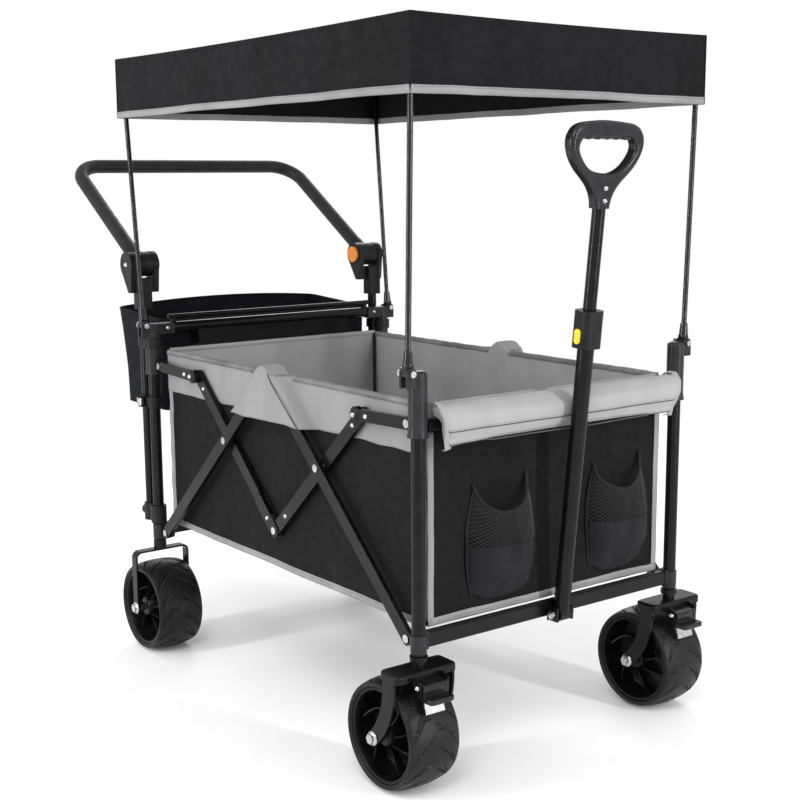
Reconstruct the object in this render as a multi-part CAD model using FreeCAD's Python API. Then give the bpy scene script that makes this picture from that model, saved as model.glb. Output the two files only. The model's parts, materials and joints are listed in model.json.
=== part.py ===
"""Folding utility wagon with a canopy, a pull handle and a rear push handle.

Millimetres, +X towards the pull handle, +Y to the wagon's left, +Z up.
The shapes are built about the middle of the wheelbase and moved along X at the end,
so that the origin is the centre of the whole wagon's footprint, on the ground.
"""
import FreeCAD, Part
import math
import os
from FreeCAD import Placement, Rotation, Vector

# Frame posts
POST_X = 452.0
POST_Y = 295.0
POST_RADIUS = 11.5
POST_WALL = 1.5
POST_BOTTOM = 228.0
POST_TOP = 672.0

# Moulded fittings on the posts
SLEEVE_RADIUS = 15.5
SLEEVE_BOTTOM = 585.0
SLEEVE_TOP = 690.0
COLLAR_RADIUS = 13.5
COLLAR_BOTTOM = 232.0
COLLAR_TOP = 262.0
FITTING_INNER_Y = POST_Y - 16.0
SOCKET_PIVOT_Y = 314.0
SOCKET_PIVOT_Z = 687.0
SOCKET_RADIUS = 8.5
EAR_INNER = 6.0
EAR_OUTER = 11.0

# Side linkage: two crossing bar pairs on each side
BAR_WIDTH = 24.0
OUTER_LAYER = (288.0, 297.0)
INNER_LAYER = (275.5, 284.5)
CLEVIS_REACH = 26.0
RIVET_HEAD = 7.0
EAR_LAYER = (279.5, 287.5)
PLATE = 2.0
RIVET_RADIUS = 4.0
RUNNING_GAP = 0.05
FOOT_X = 421.5
FOOT_Z = 247.5
LONG_BAR = 571.7
LONG_CROSSING = 353.3
SHORT_BELOW = LONG_BAR - LONG_CROSSING
SHORT_ABOVE = 165.5
BAR_ANGLE = math.radians(42.5)
LINK_X = 425.5
LINK_Z = 603.0
LINK_WIDTH = 20.0

# Wheels and forks
WHEEL_RADIUS = 95.0
RIM_RADIUS = 80.0
TYRE_WIDTH = 100.0
RIM_WIDTH = 90.0
RIM_BAND = 5.0
RIM_WEB = 6.0
HUB_RADIUS = 20.0
AXLE_RADIUS = 6.0
FORK_INNER = 58.0
FORK_OUTER = 62.0
FORK_TOP = 218.0
FORK_SHEET = 4.0
STRAP_WIDTH = 20.0
CASTER_TRAIL = 44.0
STEM_RADIUS = 6.0
STEM_TOP = 264.0
FRAME_RISE = 8.0  # build() raises everything but the wheels, forks and brakes by this

# Tub
FLOOR_BOTTOM = 266.0
FLOOR_TOP = 276.0
TUB_X = 434.0
TUB_SIDE_Y = 264.5
CLOTH = 4.0
RIM_Z = 632.0
FLAP_BOTTOM = 550.0
FLAP_THICKNESS = 3.5

# Pull handle
HANDLE_X = 472.5
HANDLE_Z = 245.0
HANDLE_LEAN = math.radians(5.94)
OUTER_TUBE_RADIUS = 14.0
INNER_TUBE_RADIUS = 11.0
COUPLING_BOTTOM = 467.0
COUPLING_TOP = 529.0
GRIP_BOTTOM = 694.0
GRIP_DEPTH = 22.0

# Push handle
SLIDE_X = -488.0
SLIDE_RADIUS = 10.0
HUB_X = -508.0
HUB_Z = 810.0
PUSH_HUB_RADIUS = 26.5
BAR_X = -826.0
BAR_Z = 1015.0
BAR_RADIUS = 15.0
ARM_Y = 289.0
BAR_BEND = 62.0

# Canopy
CANOPY_REAR = -513.0
CANOPY_FRONT = 475.0
CANOPY_HALF_WIDTH = 325.0
CANOPY_BOTTOM = 1108.0
CANOPY_TOP = 1227.0
CANOPY_CLOTH = 2.5
ROD_RADIUS = 4.75
ROD_TOP_INSET = 9.5

X_AXIS = Vector(1, 0, 0)
Y_AXIS = Vector(0, 1, 0)
Z_AXIS = Vector(0, 0, 1)
ORIGIN = Vector(0, 0, 0)
SIDES = (-1, 1)

nodes = {}


# ---------------------------------------------------------------- basic shapes

def block(x_range, y_range, z_range):
    """Box between two values on each axis."""
    low = Vector(min(x_range), min(y_range), min(z_range))
    high = Vector(max(x_range), max(y_range), max(z_range))
    size = high - low
    return Part.makeBox(size.x, size.y, size.z, low)


def rod(start, end, radius):
    """Solid cylinder between two points."""
    along = end - start
    return Part.makeCylinder(radius, along.Length, start, along)


def pipe(start, end, radius, wall):
    """Hollow cylinder between two points."""
    return rod(start, end, radius).cut(rod(start, end, radius - wall))


def disc_y(x, z, radius, y_range):
    """Cylinder along Y."""
    low, high = min(y_range), max(y_range)
    return Part.makeCylinder(radius, high - low, Vector(x, low, z), Y_AXIS)


def disc_x(y, z, radius, x_range):
    """Cylinder along X."""
    low, high = min(x_range), max(x_range)
    return Part.makeCylinder(radius, high - low, Vector(low, y, z), X_AXIS)


def disc_z(x, y, radius, z_range):
    """Cylinder along Z."""
    low, high = min(z_range), max(z_range)
    return Part.makeCylinder(radius, high - low, Vector(x, y, low), Z_AXIS)


def fuse(shapes):
    """Union of a list of shapes as one clean solid."""
    whole = shapes[0]
    for shape in shapes[1:]:
        whole = whole.fuse(shape)
    return whole.removeSplitter()


def prism_y(outline, y_range):
    """Outline of (x, z) points, extruded along Y."""
    low, high = min(y_range), max(y_range)
    points = [Vector(x, low, z) for x, z in outline]
    face = Part.Face(Part.makePolygon(points + points[:1]))
    return face.extrude(Vector(0, high - low, 0))


def prism_z(outline, z_range):
    """Outline of (x, y) points, extruded along Z."""
    low, high = min(z_range), max(z_range)
    points = [Vector(x, y, low) for x, y in outline]
    face = Part.Face(Part.makePolygon(points + points[:1]))
    return face.extrude(Vector(0, 0, high - low))


def slab(start, end, width, layer):
    """Flat bar with round ends, in a plane across Y, between two (x, z) points."""
    dx, dz = end[0] - start[0], end[1] - start[1]
    length = math.hypot(dx, dz)
    half = width / 2
    low, high = min(layer), max(layer)
    body = Part.makeBox(length, high - low, width, Vector(0, 0, -half))
    ends = [disc_y(at, 0, half, (0, high - low)) for at in (0, length)]
    body = fuse([body] + ends)
    turn = Rotation(Y_AXIS, -math.degrees(math.atan2(dz, dx)))
    body.Placement = Placement(Vector(start[0], low, start[1]), turn)
    return body


def edges_along(shape, axis):
    """Straight edges of a shape that run along an axis."""
    found = []
    for edge in shape.Edges:
        if isinstance(edge.Curve, Part.Line) and abs(edge.Curve.Direction.dot(axis)) > 0.999:
            found.append(edge)
    return found


def hex_prism(centre, axis, across, height):
    """Hexagonal bolt head or nut."""
    radius = across / math.sqrt(3)
    turn = Rotation(Z_AXIS, axis)
    points = []
    for corner in range(6):
        angle = math.radians(60 * corner)
        flat = Vector(radius * math.cos(angle), radius * math.sin(angle), 0)
        points.append(centre + turn.multVec(flat))
    face = Part.Face(Part.makePolygon(points + points[:1]))
    return face.extrude(turn.multVec(Vector(0, 0, height)))


def mirror_y(shape):
    """The same piece on the other side of the wagon."""
    return shape.mirror(ORIGIN, Y_AXIS)


def mirror_point(point):
    """The same point on the other side of the wagon."""
    return Vector(point.x, -point.y, point.z)


def mirror_x(shape):
    """The same piece at the other end of the wagon."""
    return shape.mirror(ORIGIN, X_AXIS)


def solids(*shapes):
    """Separate solids kept together in one node."""
    found = []
    for shape in shapes:
        found.extend(shape.Solids)
    return Part.makeCompound(found)


def pair(shape):
    """A left piece with its right twin."""
    return solids(mirror_y(shape), shape)


# ---------------------------------------------------------------- posts and rails

def add_posts():
    """Four upright tubes; the front pair has a plug that carries the caster stems."""
    foot = Vector(-POST_X, POST_Y, POST_BOTTOM)
    post = pipe(foot, Vector(-POST_X, POST_Y, POST_TOP), POST_RADIUS, POST_WALL)
    nodes["rear_posts"] = pair(post)
    plug = disc_z(POST_X, POST_Y, POST_RADIUS - POST_WALL, (POST_BOTTOM, STEM_TOP + 8))
    front = fuse([mirror_x(post), plug])
    front = front.cut(disc_z(POST_X, POST_Y, STEM_RADIUS + RUNNING_GAP, (POST_BOTTOM, STEM_TOP + 2)))
    nodes["front_posts"] = pair(front)


UPPER_RAIL_Z = 600.0
UPPER_RAIL_RADIUS = 10.0
LOWER_RAIL_X = (441.0, 457.0)
LOWER_RAIL_Z = (238.0, 264.0)
CROSSBAR_Z = 680.0
CROSSBAR_RADIUS = 11.0
CAP_RAIL_RADIUS = 5.0
CAP_RAIL_GAP = 6.0
CAP_RAIL_INSET = 22.0


def sleeve_flare(x, y):
    """Flared lower end of a post sleeve."""
    return Part.makeCone(SLEEVE_RADIUS + 2, SLEEVE_RADIUS, 12, Vector(x, y, SLEEVE_BOTTOM), Z_AXIS)


def add_rails():
    """Cross members between the two front posts and between the two rear posts."""
    reach = POST_Y - SLEEVE_RADIUS
    upper = disc_x(0, 0, UPPER_RAIL_RADIUS, (-reach, reach))
    upper = upper.cut(disc_x(0, 0, UPPER_RAIL_RADIUS - POST_WALL, (-reach, reach)))
    upper.Placement = Placement(Vector(POST_X, 0, UPPER_RAIL_Z), Rotation(Z_AXIS, 90))
    for side in SIDES:
        upper = upper.cut(sleeve_flare(POST_X, side * POST_Y))
    lower = block(LOWER_RAIL_X, (-FITTING_INNER_Y, FITTING_INNER_Y), LOWER_RAIL_Z)
    lower = lower.makeFillet(3, edges_along(lower, Y_AXIS))
    hollow_x = (LOWER_RAIL_X[0] + POST_WALL, LOWER_RAIL_X[1] - POST_WALL)
    hollow_z = (LOWER_RAIL_Z[0] + POST_WALL, LOWER_RAIL_Z[1] - POST_WALL)
    lower = lower.cut(block(hollow_x, (-FITTING_INNER_Y, FITTING_INNER_Y), hollow_z))
    nodes["front_rails"] = solids(upper, lower)

    end = Vector(-POST_X, reach, CROSSBAR_Z)
    crossbar = pipe(mirror_point(end), end, CROSSBAR_RADIUS, POST_WALL)
    cap_z = CROSSBAR_Z + CROSSBAR_RADIUS + CAP_RAIL_GAP + CAP_RAIL_RADIUS
    cap_reach = reach - CAP_RAIL_INSET
    end = Vector(-POST_X, cap_reach, cap_z)
    cap = rod(mirror_point(end), end, CAP_RAIL_RADIUS)
    feet = []
    for side in SIDES:
        span = (side * (cap_reach - 17), side * (cap_reach - 7))
        feet.append(block((-POST_X - 4, -POST_X + 4), span, (CROSSBAR_Z + 10, cap_z)))
    top = fuse([crossbar, cap] + feet)
    low = mirror_x(lower)
    nodes["rear_cross_bars"] = solids(top, low)


def sleeve():
    """Left rear sleeve: caps the post and carries the canopy socket and the short link."""
    x = -POST_X
    body = disc_z(x, POST_Y, SLEEVE_RADIUS, (SLEEVE_BOTTOM, SLEEVE_TOP))
    flare = sleeve_flare(x, POST_Y)
    top_edges = [edge for edge in body.Edges if edge.BoundBox.ZMin > SLEEVE_TOP - 1]
    body = body.makeFillet(6, top_edges)
    ears = []
    for side in SIDES:
        span = (x + side * EAR_INNER, x + side * EAR_OUTER)
        ears.append(block(span, (POST_Y + 5, SOCKET_PIVOT_Y + 9), (664, SOCKET_PIVOT_Z)))
        ears.append(disc_x(SOCKET_PIVOT_Y, SOCKET_PIVOT_Z, 9, span))
    link_ear = block((x, -LINK_X), EAR_LAYER, (LINK_Z - 10, LINK_Z + 10))
    link_ear = fuse([link_ear, disc_y(-LINK_X, LINK_Z, 10, EAR_LAYER)])
    link_ear = link_ear.cut(disc_y(-LINK_X, LINK_Z, RIVET_RADIUS, EAR_LAYER))
    whole = fuse([body, flare, link_ear] + ears)
    whole = whole.cut(disc_z(x, POST_Y, POST_RADIUS, (SLEEVE_BOTTOM, POST_TOP)))
    slot = block((x - EAR_INNER, x + EAR_INNER), (POST_Y + 9.5, POST_Y + 40), (677, SLEEVE_TOP + 12))
    bolt_hole = disc_x(SOCKET_PIVOT_Y, SOCKET_PIVOT_Z, 3, (x - 20, x + 20))
    return whole.cut(slot).cut(bolt_hole)


def collar():
    """Left rear collar: holds the foot pivot of the long bar."""
    x = -POST_X
    ring = disc_z(x, POST_Y, COLLAR_RADIUS, (COLLAR_BOTTOM, COLLAR_TOP))
    ear = block((x, -FOOT_X), EAR_LAYER, (FOOT_Z - 11, FOOT_Z + 11))
    cup_x = (-LOWER_RAIL_X[1] - 1.5, -LOWER_RAIL_X[0] + 1.5)
    cup_z = (LOWER_RAIL_Z[0] - 1.5, LOWER_RAIL_Z[1] + 1.5)
    cup = block(cup_x, (FITTING_INNER_Y, POST_Y), cup_z)
    ear = fuse([ring, cup, ear, disc_y(-FOOT_X, FOOT_Z, 11, EAR_LAYER)])
    ear = ear.cut(disc_z(x, POST_Y, POST_RADIUS, (COLLAR_BOTTOM - 5, COLLAR_TOP + 10)))
    return ear.cut(disc_y(-FOOT_X, FOOT_Z, RIVET_RADIUS, EAR_LAYER))


def add_fittings():
    """Sleeves at the post tops and collars at the post feet."""
    upper = sleeve()
    lower = collar()
    nodes["front_post_fittings"] = solids(pair(mirror_x(upper)), pair(mirror_x(lower)))
    reach = POST_Y - SLEEVE_RADIUS
    half = CROSSBAR_RADIUS + 2.5
    span_z = (CROSSBAR_Z - half, SLEEVE_TOP)
    socket = block((-POST_X - half, -POST_X + half), (reach - 30, POST_Y), span_z)
    socket = socket.makeFillet(3, edges_along(socket, Y_AXIS))
    socket = socket.cut(disc_z(-POST_X, POST_Y, POST_RADIUS, (SLEEVE_BOTTOM, POST_TOP)))
    socket = socket.cut(disc_y(-POST_X, CROSSBAR_Z, CROSSBAR_RADIUS, (0, reach)))
    nodes["rear_post_fittings"] = solids(pair(fuse([upper, socket])), pair(lower))


# ---------------------------------------------------------------- canopy rods and cover

def canopy_rod(end):
    """Left canopy rod with its tapered socket; end is -1 at the rear and 1 at the front."""
    x = end * POST_X
    corner_x = CANOPY_REAR + ROD_TOP_INSET if end < 0 else CANOPY_FRONT - ROD_TOP_INSET
    foot = Vector(x, SOCKET_PIVOT_Y, SOCKET_PIVOT_Z)
    top = Vector(corner_x, CANOPY_HALF_WIDTH - ROD_TOP_INSET, CANOPY_TOP - CANOPY_CLOTH - 1.5 - ROD_RADIUS)
    along = (top - foot).normalize()
    tongue_x = (x - EAR_INNER + 0.2, x + EAR_INNER - 0.2)
    tongue = disc_x(SOCKET_PIVOT_Y, SOCKET_PIVOT_Z, SOCKET_RADIUS, tongue_x)
    neck = block(tongue_x, (SOCKET_PIVOT_Y - 7, SOCKET_PIVOT_Y + 7), (SOCKET_PIVOT_Z, SOCKET_PIVOT_Z + 14))
    cone = Part.makeCone(SOCKET_RADIUS, 6.5, 24, foot + along * 12, along)
    stick = rod(foot + along * 20, top, ROD_RADIUS)
    tip = Part.makeSphere(ROD_RADIUS, top)
    whole = fuse([tongue, neck, cone, stick, tip])
    return whole.cut(disc_x(SOCKET_PIVOT_Y, SOCKET_PIVOT_Z, 3, (x - 20, x + 20)))


def add_canopy():
    """Four rods and the fitted cover that drops over their tips."""
    nodes["rear_canopy_rods"] = pair(canopy_rod(-1))
    nodes["front_canopy_rods"] = pair(canopy_rod(1))
    cloth = CANOPY_CLOTH
    half = CANOPY_HALF_WIDTH
    width = half - cloth
    inside_x = (CANOPY_REAR + cloth, CANOPY_FRONT - cloth)
    outer = block((CANOPY_REAR, CANOPY_FRONT), (-half, half), (CANOPY_BOTTOM, CANOPY_TOP))
    inner = block(inside_x, (-width, width), (CANOPY_BOTTOM, CANOPY_TOP - cloth))
    nodes["canopy_cover"] = outer.cut(inner)


# ---------------------------------------------------------------- wheels, forks and brakes

def tyre(x, y):
    """Wide tyre with a crowned tread, turned about the axle."""
    half = TYRE_WIDTH / 2
    shoulder = WHEEL_RADIUS - 7
    points = [Vector(RIM_RADIUS, -half + 5, 0), Vector(shoulder, -half, 0)]
    edges = [Part.makeLine(points[0], points[1])]
    edges.append(Part.Arc(points[1], Vector(WHEEL_RADIUS, 0, 0), Vector(shoulder, half, 0)).toShape())
    last = Vector(RIM_RADIUS, half - 5, 0)
    edges.append(Part.makeLine(Vector(shoulder, half, 0), last))
    edges.append(Part.makeLine(last, points[0]))
    ring = Part.Face(Part.Wire(edges)).revolve(ORIGIN, Y_AXIS, 360)
    ring.translate(Vector(x, y, WHEEL_RADIUS))
    return ring


def rim(x, y):
    """Moulded rim: outer band and hub, joined by a thin centre web in a deep dish."""
    half = RIM_WIDTH / 2
    band = disc_y(0, 0, RIM_RADIUS, (-half, half))
    band = band.cut(disc_y(0, 0, RIM_RADIUS - RIM_BAND, (-half, half)))
    hub = disc_y(0, 0, HUB_RADIUS, (-half, half))
    web = disc_y(0, 0, RIM_RADIUS - 1, (-RIM_WEB / 2, RIM_WEB / 2))
    whole = fuse([band, hub, web])
    whole = whole.cut(disc_y(0, 0, AXLE_RADIUS + RUNNING_GAP, (-half, half)))
    whole.translate(Vector(x, y, WHEEL_RADIUS))
    return whole


def axle(x, y, side):
    """Axle bolt with its head outside, a nut inside and a spacer on each side of the hub."""
    start = Vector(x, y - side * (FORK_OUTER + 8), WHEEL_RADIUS)
    end = Vector(x, y + side * (FORK_OUTER + 1), WHEEL_RADIUS)
    shaft = rod(start, end, AXLE_RADIUS)
    head = hex_prism(Vector(x, y + side * FORK_OUTER, WHEEL_RADIUS), Vector(0, side, 0), 16, 6)
    nut = hex_prism(Vector(x, y - side * FORK_OUTER, WHEEL_RADIUS), Vector(0, -side, 0), 16, 6)
    bolt = fuse([shaft, head, nut])
    spacers = []
    for face in SIDES:
        gap = (y + face * (RIM_WIDTH / 2 + 0.3), y + face * FORK_INNER)
        ring = disc_y(x, WHEEL_RADIUS, 10, gap).cut(disc_y(x, WHEEL_RADIUS, AXLE_RADIUS, gap))
        spacers.append(ring)
    return solids(bolt, *spacers)


def rear_fork():
    """Left rear fork: a plain strap bent over the wheel, under a short boss."""
    x = -POST_X
    half = STRAP_WIDTH / 2
    foot = WHEEL_RADIUS - 13
    outer = block((x - half, x + half), (POST_Y - FORK_OUTER, POST_Y + FORK_OUTER), (foot, FORK_TOP))
    top_edges = [edge for edge in edges_along(outer, X_AXIS) if edge.BoundBox.ZMin > FORK_TOP - 1]
    outer = outer.makeFillet(14, top_edges)
    below = FORK_TOP - FORK_SHEET
    inner = block((x - half, x + half), (POST_Y - FORK_INNER, POST_Y + FORK_INNER), (foot, below))
    top_edges = [edge for edge in edges_along(inner, X_AXIS) if edge.BoundBox.ZMin > below - 1]
    inner = inner.makeFillet(10, top_edges)
    boss = disc_z(x, POST_Y, 13.5, (FORK_TOP, POST_BOTTOM + FRAME_RISE))
    strap = fuse([outer.cut(inner), boss])
    return strap.cut(disc_y(x, WHEEL_RADIUS, AXLE_RADIUS, (0, 2 * POST_Y)))


def caster_arm(x, axle_x, y_range):
    """Bowed side arm of a caster fork, from the top plate back to the axle."""
    low, high = min(y_range), max(y_range)
    axle_low = Vector(axle_x + 5, low, WHEEL_RADIUS - 12)
    axle_back = Vector(axle_x - 11, low, WHEEL_RADIUS + 6)
    top_front = Vector(x + 14, low, FORK_TOP - 6)
    top_back = Vector(x - 17, low, FORK_TOP - 6)
    front = Part.Arc(top_front, Vector(x + 5, low, 140), axle_low).toShape()
    round_end = Part.Arc(axle_low, Vector(axle_x - 10, low, WHEEL_RADIUS - 8), axle_back).toShape()
    back = Part.Arc(axle_back, Vector(x - 19, low, 158), top_back).toShape()
    close = Part.makeLine(top_back, top_front)
    face = Part.Face(Part.Wire([front, round_end, back, close]))
    return face.extrude(Vector(0, high - low, 0))


BRAKE_X = POST_X + 33.0
BRAKE_Z = 197.0
BRAKE_HALF = 25.0
SKIRT = 14.0


def fork_cap(x, y):
    """Pressed top of a caster fork: rounded, open at the back, with a skirt in front."""
    cap = block((x - 26, x + 24), (y - FORK_OUTER, y + FORK_OUTER), (FORK_TOP - SKIRT, FORK_TOP))
    cap = cap.makeFillet(10, edges_along(cap, Z_AXIS))
    cap = cap.makeFillet(5, [edge for edge in cap.Edges if edge.BoundBox.ZMin > FORK_TOP - 1])
    inner_z = (FORK_TOP - SKIRT, FORK_TOP - FORK_SHEET)
    inner = block((x - 40, x + 20), (y - FORK_INNER, y + FORK_INNER), inner_z)
    front = [edge for edge in edges_along(inner, Z_AXIS) if edge.BoundBox.XMin > x]
    return cap.cut(inner.makeFillet(6, front))


def caster_fork(side):
    """Swivelling front fork with its stem, flange and the two ears of the brake."""
    x = POST_X
    y = side * POST_Y
    axle_x = POST_X - CASTER_TRAIL
    post_foot = POST_BOTTOM + FRAME_RISE
    arms = []
    for face in SIDES:
        arms.append(caster_arm(x, axle_x, (y + face * FORK_INNER, y + face * FORK_OUTER)))
    stem = disc_z(x, y, STEM_RADIUS, (FORK_TOP - 1, STEM_TOP + FRAME_RISE))
    neck = disc_z(x, y, 11, (FORK_TOP - 1, post_foot - 8))
    flange = disc_z(x, y, 15, (post_foot - 9, post_foot - 1))
    ears = []
    for face in SIDES:
        span = (y + face * (BRAKE_HALF + 1), y + face * (BRAKE_HALF + 4))
        ear = prism_y([(x + 21, 212), (x + 42, 206), (x + 42, 188), (x + 34, 180), (x + 21, 204.5)], span)
        ears.append(ear)
    whole = fuse([fork_cap(x, y), stem, neck, flange] + arms + ears)
    whole = whole.cut(disc_y(axle_x, WHEEL_RADIUS, AXLE_RADIUS, (y - FORK_OUTER, y + FORK_OUTER)))
    return whole.cut(disc_y(BRAKE_X, BRAKE_Z, 3 + RUNNING_GAP, (y - FORK_OUTER, y + FORK_OUTER)))


def brake_pedal(y):
    """Rocking foot pedal: an upper pad with a sunk panel, and a lower pad that sticks out."""
    wide = (y - BRAKE_HALF, y + BRAKE_HALF)
    upper = prism_y([(477, 205), (495, 202), (498, 199), (498, 183), (482, 181)], wide)
    panel = block((497, 500), (y - 20, y + 20), (185.5, 198))
    upper = upper.cut(panel.makeFillet(5, edges_along(panel, X_AXIS)))
    lower = block((481, 517), wide, (174, 183))
    ends = [edge for edge in edges_along(lower, Z_AXIS) if edge.BoundBox.XMin > 500]
    lower = lower.makeFillet(8, ends)
    lower = lower.makeFillet(2.5, [edge for edge in lower.Edges if edge.BoundBox.XMax > 505])
    pin = disc_y(BRAKE_X, BRAKE_Z, 3, (y - BRAKE_HALF - 6, y + BRAKE_HALF + 6))
    return fuse([upper, lower, pin])


def brake_shoe(y):
    """Steel plate under the pedal that presses on the tread."""
    return prism_y([(485, 173.8), (490, 173.8), (496.5, 152.5), (493.5, 151.5)], (y - 19, y + 19))


def add_wheels():
    """Two fixed rear wheels and two braked front casters."""
    rear_x = -POST_X
    caster_x = POST_X - CASTER_TRAIL
    nodes["rear_forks"] = pair(rear_fork())
    for side, name in zip(SIDES, ("right", "left")):
        y = side * POST_Y
        nodes["rear_tyre_" + name] = tyre(rear_x, y)
        nodes["rear_rim_" + name] = rim(rear_x, y)
        nodes["front_tyre_" + name] = tyre(caster_x, y)
        nodes["front_rim_" + name] = rim(caster_x, y)
        nodes["caster_fork_" + name] = caster_fork(side)
        nodes["caster_axle_" + name] = axle(caster_x, y, side)
        nodes["brake_pedal_" + name] = brake_pedal(y)
        nodes["brake_shoe_" + name] = brake_shoe(y)


# ---------------------------------------------------------------- side linkage

FOOT = (-FOOT_X, FOOT_Z)


def along_bar(distance):
    """Point on the rear long bar at a distance from its foot."""
    return (FOOT[0] + distance * math.cos(BAR_ANGLE), FOOT[1] + distance * math.sin(BAR_ANGLE))


APEX = along_bar(LONG_BAR)
CROSSING = along_bar(LONG_CROSSING)


def along_short(distance):
    """Point on the rear short bar at a distance from its crossing, negative above it."""
    return (CROSSING[0] + distance * math.cos(BAR_ANGLE), CROSSING[1] - distance * math.sin(BAR_ANGLE))


SHORT_TOP = along_short(-SHORT_ABOVE)
SHORT_LOW = along_short(SHORT_BELOW)


def between(start, end, distance):
    """Point at a distance from start towards end, both (x, z)."""
    dx, dz = end[0] - start[0], end[1] - start[1]
    length = math.hypot(dx, dz)
    return (start[0] + dx * distance / length, start[1] + dz * distance / length)


def holed(shape, points, radius):
    """Cut a hole through a bar at each (x, z) point."""
    for x, z in points:
        shape = shape.cut(disc_y(x, z, radius, (200, 400)))
    return shape


def clevis_bar(start, end, layer, setback):
    """Bar that stops short of its end pivot, with a plate on each face reaching over it."""
    length = math.hypot(end[0] - start[0], end[1] - start[1])
    bar = slab(start, between(start, end, length - setback - BAR_WIDTH / 2), BAR_WIDTH, layer)
    near = between(start, end, length - setback - 34)
    plates = [slab(near, end, BAR_WIDTH + 2, (layer[0] - PLATE, layer[0]))]
    plates.append(slab(near, end, BAR_WIDTH + 2, (layer[1], layer[1] + PLATE)))
    return fuse([bar] + plates)


def rivet(point, y_range, radius, head):
    """Pin along Y with a low round head at each end."""
    x, z = point
    low, high = min(y_range), max(y_range)
    pin = disc_y(x, z, radius, (low, high))
    return fuse([pin, disc_y(x, z, head, (low - 1.2, low)), disc_y(x, z, head, (high, high + 1.6))])


def shrunk(layer, gap):
    """The same layer, a little thinner on both faces."""
    return (layer[0] + gap, layer[1] - gap)


def flip(point):
    """The matching point at the front of the wagon."""
    return (-point[0], point[1])


def add_linkage():
    """Long bars from the feet to the apex, short bars crossing them, and the short links."""
    loose = RIVET_RADIUS + RUNNING_GAP
    setback = BAR_WIDTH / 2 + CLEVIS_REACH
    rear_long = clevis_bar(FOOT, APEX, OUTER_LAYER, setback)
    rear_long = holed(rear_long, [CROSSING, APEX], RIVET_RADIUS)
    rear_long = holed(rear_long, [FOOT], loose)
    nodes["rear_long_bars"] = pair(rear_long)
    front_long = slab(flip(FOOT), APEX, BAR_WIDTH, shrunk(OUTER_LAYER, 0.15))
    front_long = holed(front_long, [flip(CROSSING)], RIVET_RADIUS)
    front_long = holed(front_long, [flip(FOOT), APEX], loose)
    nodes["front_long_bars"] = pair(front_long)

    rear_short = clevis_bar(SHORT_TOP, SHORT_LOW, INNER_LAYER, setback)
    rear_short = holed(rear_short, [SHORT_LOW], RIVET_RADIUS)
    rear_short = holed(rear_short, [CROSSING], loose)
    nodes["rear_short_bars"] = pair(rear_short)
    front_short = slab(flip(SHORT_TOP), SHORT_LOW, BAR_WIDTH, shrunk(INNER_LAYER, 0.15))
    front_short = holed(front_short, [flip(CROSSING), SHORT_LOW], loose)
    nodes["front_short_bars"] = pair(front_short)

    link = slab((-LINK_X, LINK_Z), SHORT_TOP, LINK_WIDTH, OUTER_LAYER)
    link = fuse([link, disc_y(SHORT_TOP[0], SHORT_TOP[1], 14, OUTER_LAYER)])
    link = holed(link, [(-LINK_X, LINK_Z)], loose)
    nodes["rear_links"] = pair(link)
    nodes["front_links"] = pair(mirror_x(link))

    washer = disc_y(CROSSING[0], CROSSING[1], 9, (INNER_LAYER[1] + 0.2, OUTER_LAYER[0]))
    pin = rivet(CROSSING, (INNER_LAYER[0] - 0.3, OUTER_LAYER[1]), RIVET_RADIUS, RIVET_HEAD)
    crossing = fuse([pin, washer])
    apex = rivet(APEX, (OUTER_LAYER[0] - PLATE, OUTER_LAYER[1] + PLATE), RIVET_RADIUS, RIVET_HEAD)
    nodes["rear_bar_rivets"] = solids(pair(crossing), pair(apex))
    nodes["front_bar_rivets"] = pair(mirror_x(crossing))
    low = rivet(SHORT_LOW, (INNER_LAYER[0] - PLATE, INNER_LAYER[1] + PLATE), RIVET_RADIUS, RIVET_HEAD)
    nodes["short_bar_rivets"] = pair(low)


# ---------------------------------------------------------------- fasteners on the two frames

def socket_bolt(x):
    """Left canopy socket bolt: hex head in front, round knob behind."""
    pin = disc_x(SOCKET_PIVOT_Y, SOCKET_PIVOT_Z, 3, (x - EAR_OUTER - 2, x + EAR_OUTER))
    head = hex_prism(Vector(x + EAR_OUTER, SOCKET_PIVOT_Y, SOCKET_PIVOT_Z), X_AXIS, 10, 4)
    knob = disc_x(SOCKET_PIVOT_Y, SOCKET_PIVOT_Z, 8, (x - EAR_OUTER - 8, x - EAR_OUTER))
    knob = knob.makeFillet(2, [edge for edge in knob.Edges if edge.BoundBox.XMax < x - EAR_OUTER - 7])
    return fuse([pin, head, knob])


def add_fasteners():
    """Socket bolts, foot rivets, link rivets, rear axles and the pull handle's pivot bolt.

    The axles stay with the wheels when build() raises this node with the frame.
    """
    span = (EAR_LAYER[0], OUTER_LAYER[1] + 0.3)
    foot = rivet(FOOT, span, RIVET_RADIUS, RIVET_HEAD)
    link = rivet((-LINK_X, LINK_Z), span, RIVET_RADIUS, RIVET_HEAD)
    rear = [pair(socket_bolt(-POST_X)), pair(foot), pair(link)]
    for side in SIDES:
        bolt = axle(-POST_X, side * POST_Y, side)
        bolt.translate(Vector(0, 0, -FRAME_RISE))
        rear.append(bolt)
    nodes["rear_bolts"] = solids(*rear)
    pivot = disc_y(HANDLE_X, HANDLE_Z, 4, (-26, 24))
    head = hex_prism(Vector(HANDLE_X, 19, HANDLE_Z), Y_AXIS, 13, 5)
    nut = hex_prism(Vector(HANDLE_X, -19, HANDLE_Z), Vector(0, -1, 0), 13, 6)
    front = [pair(socket_bolt(POST_X)), pair(mirror_x(foot)), pair(mirror_x(link)), fuse([pivot, head, nut])]
    nodes["front_bolts"] = solids(*front)


# ---------------------------------------------------------------- tub, bag and other sewn parts

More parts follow.
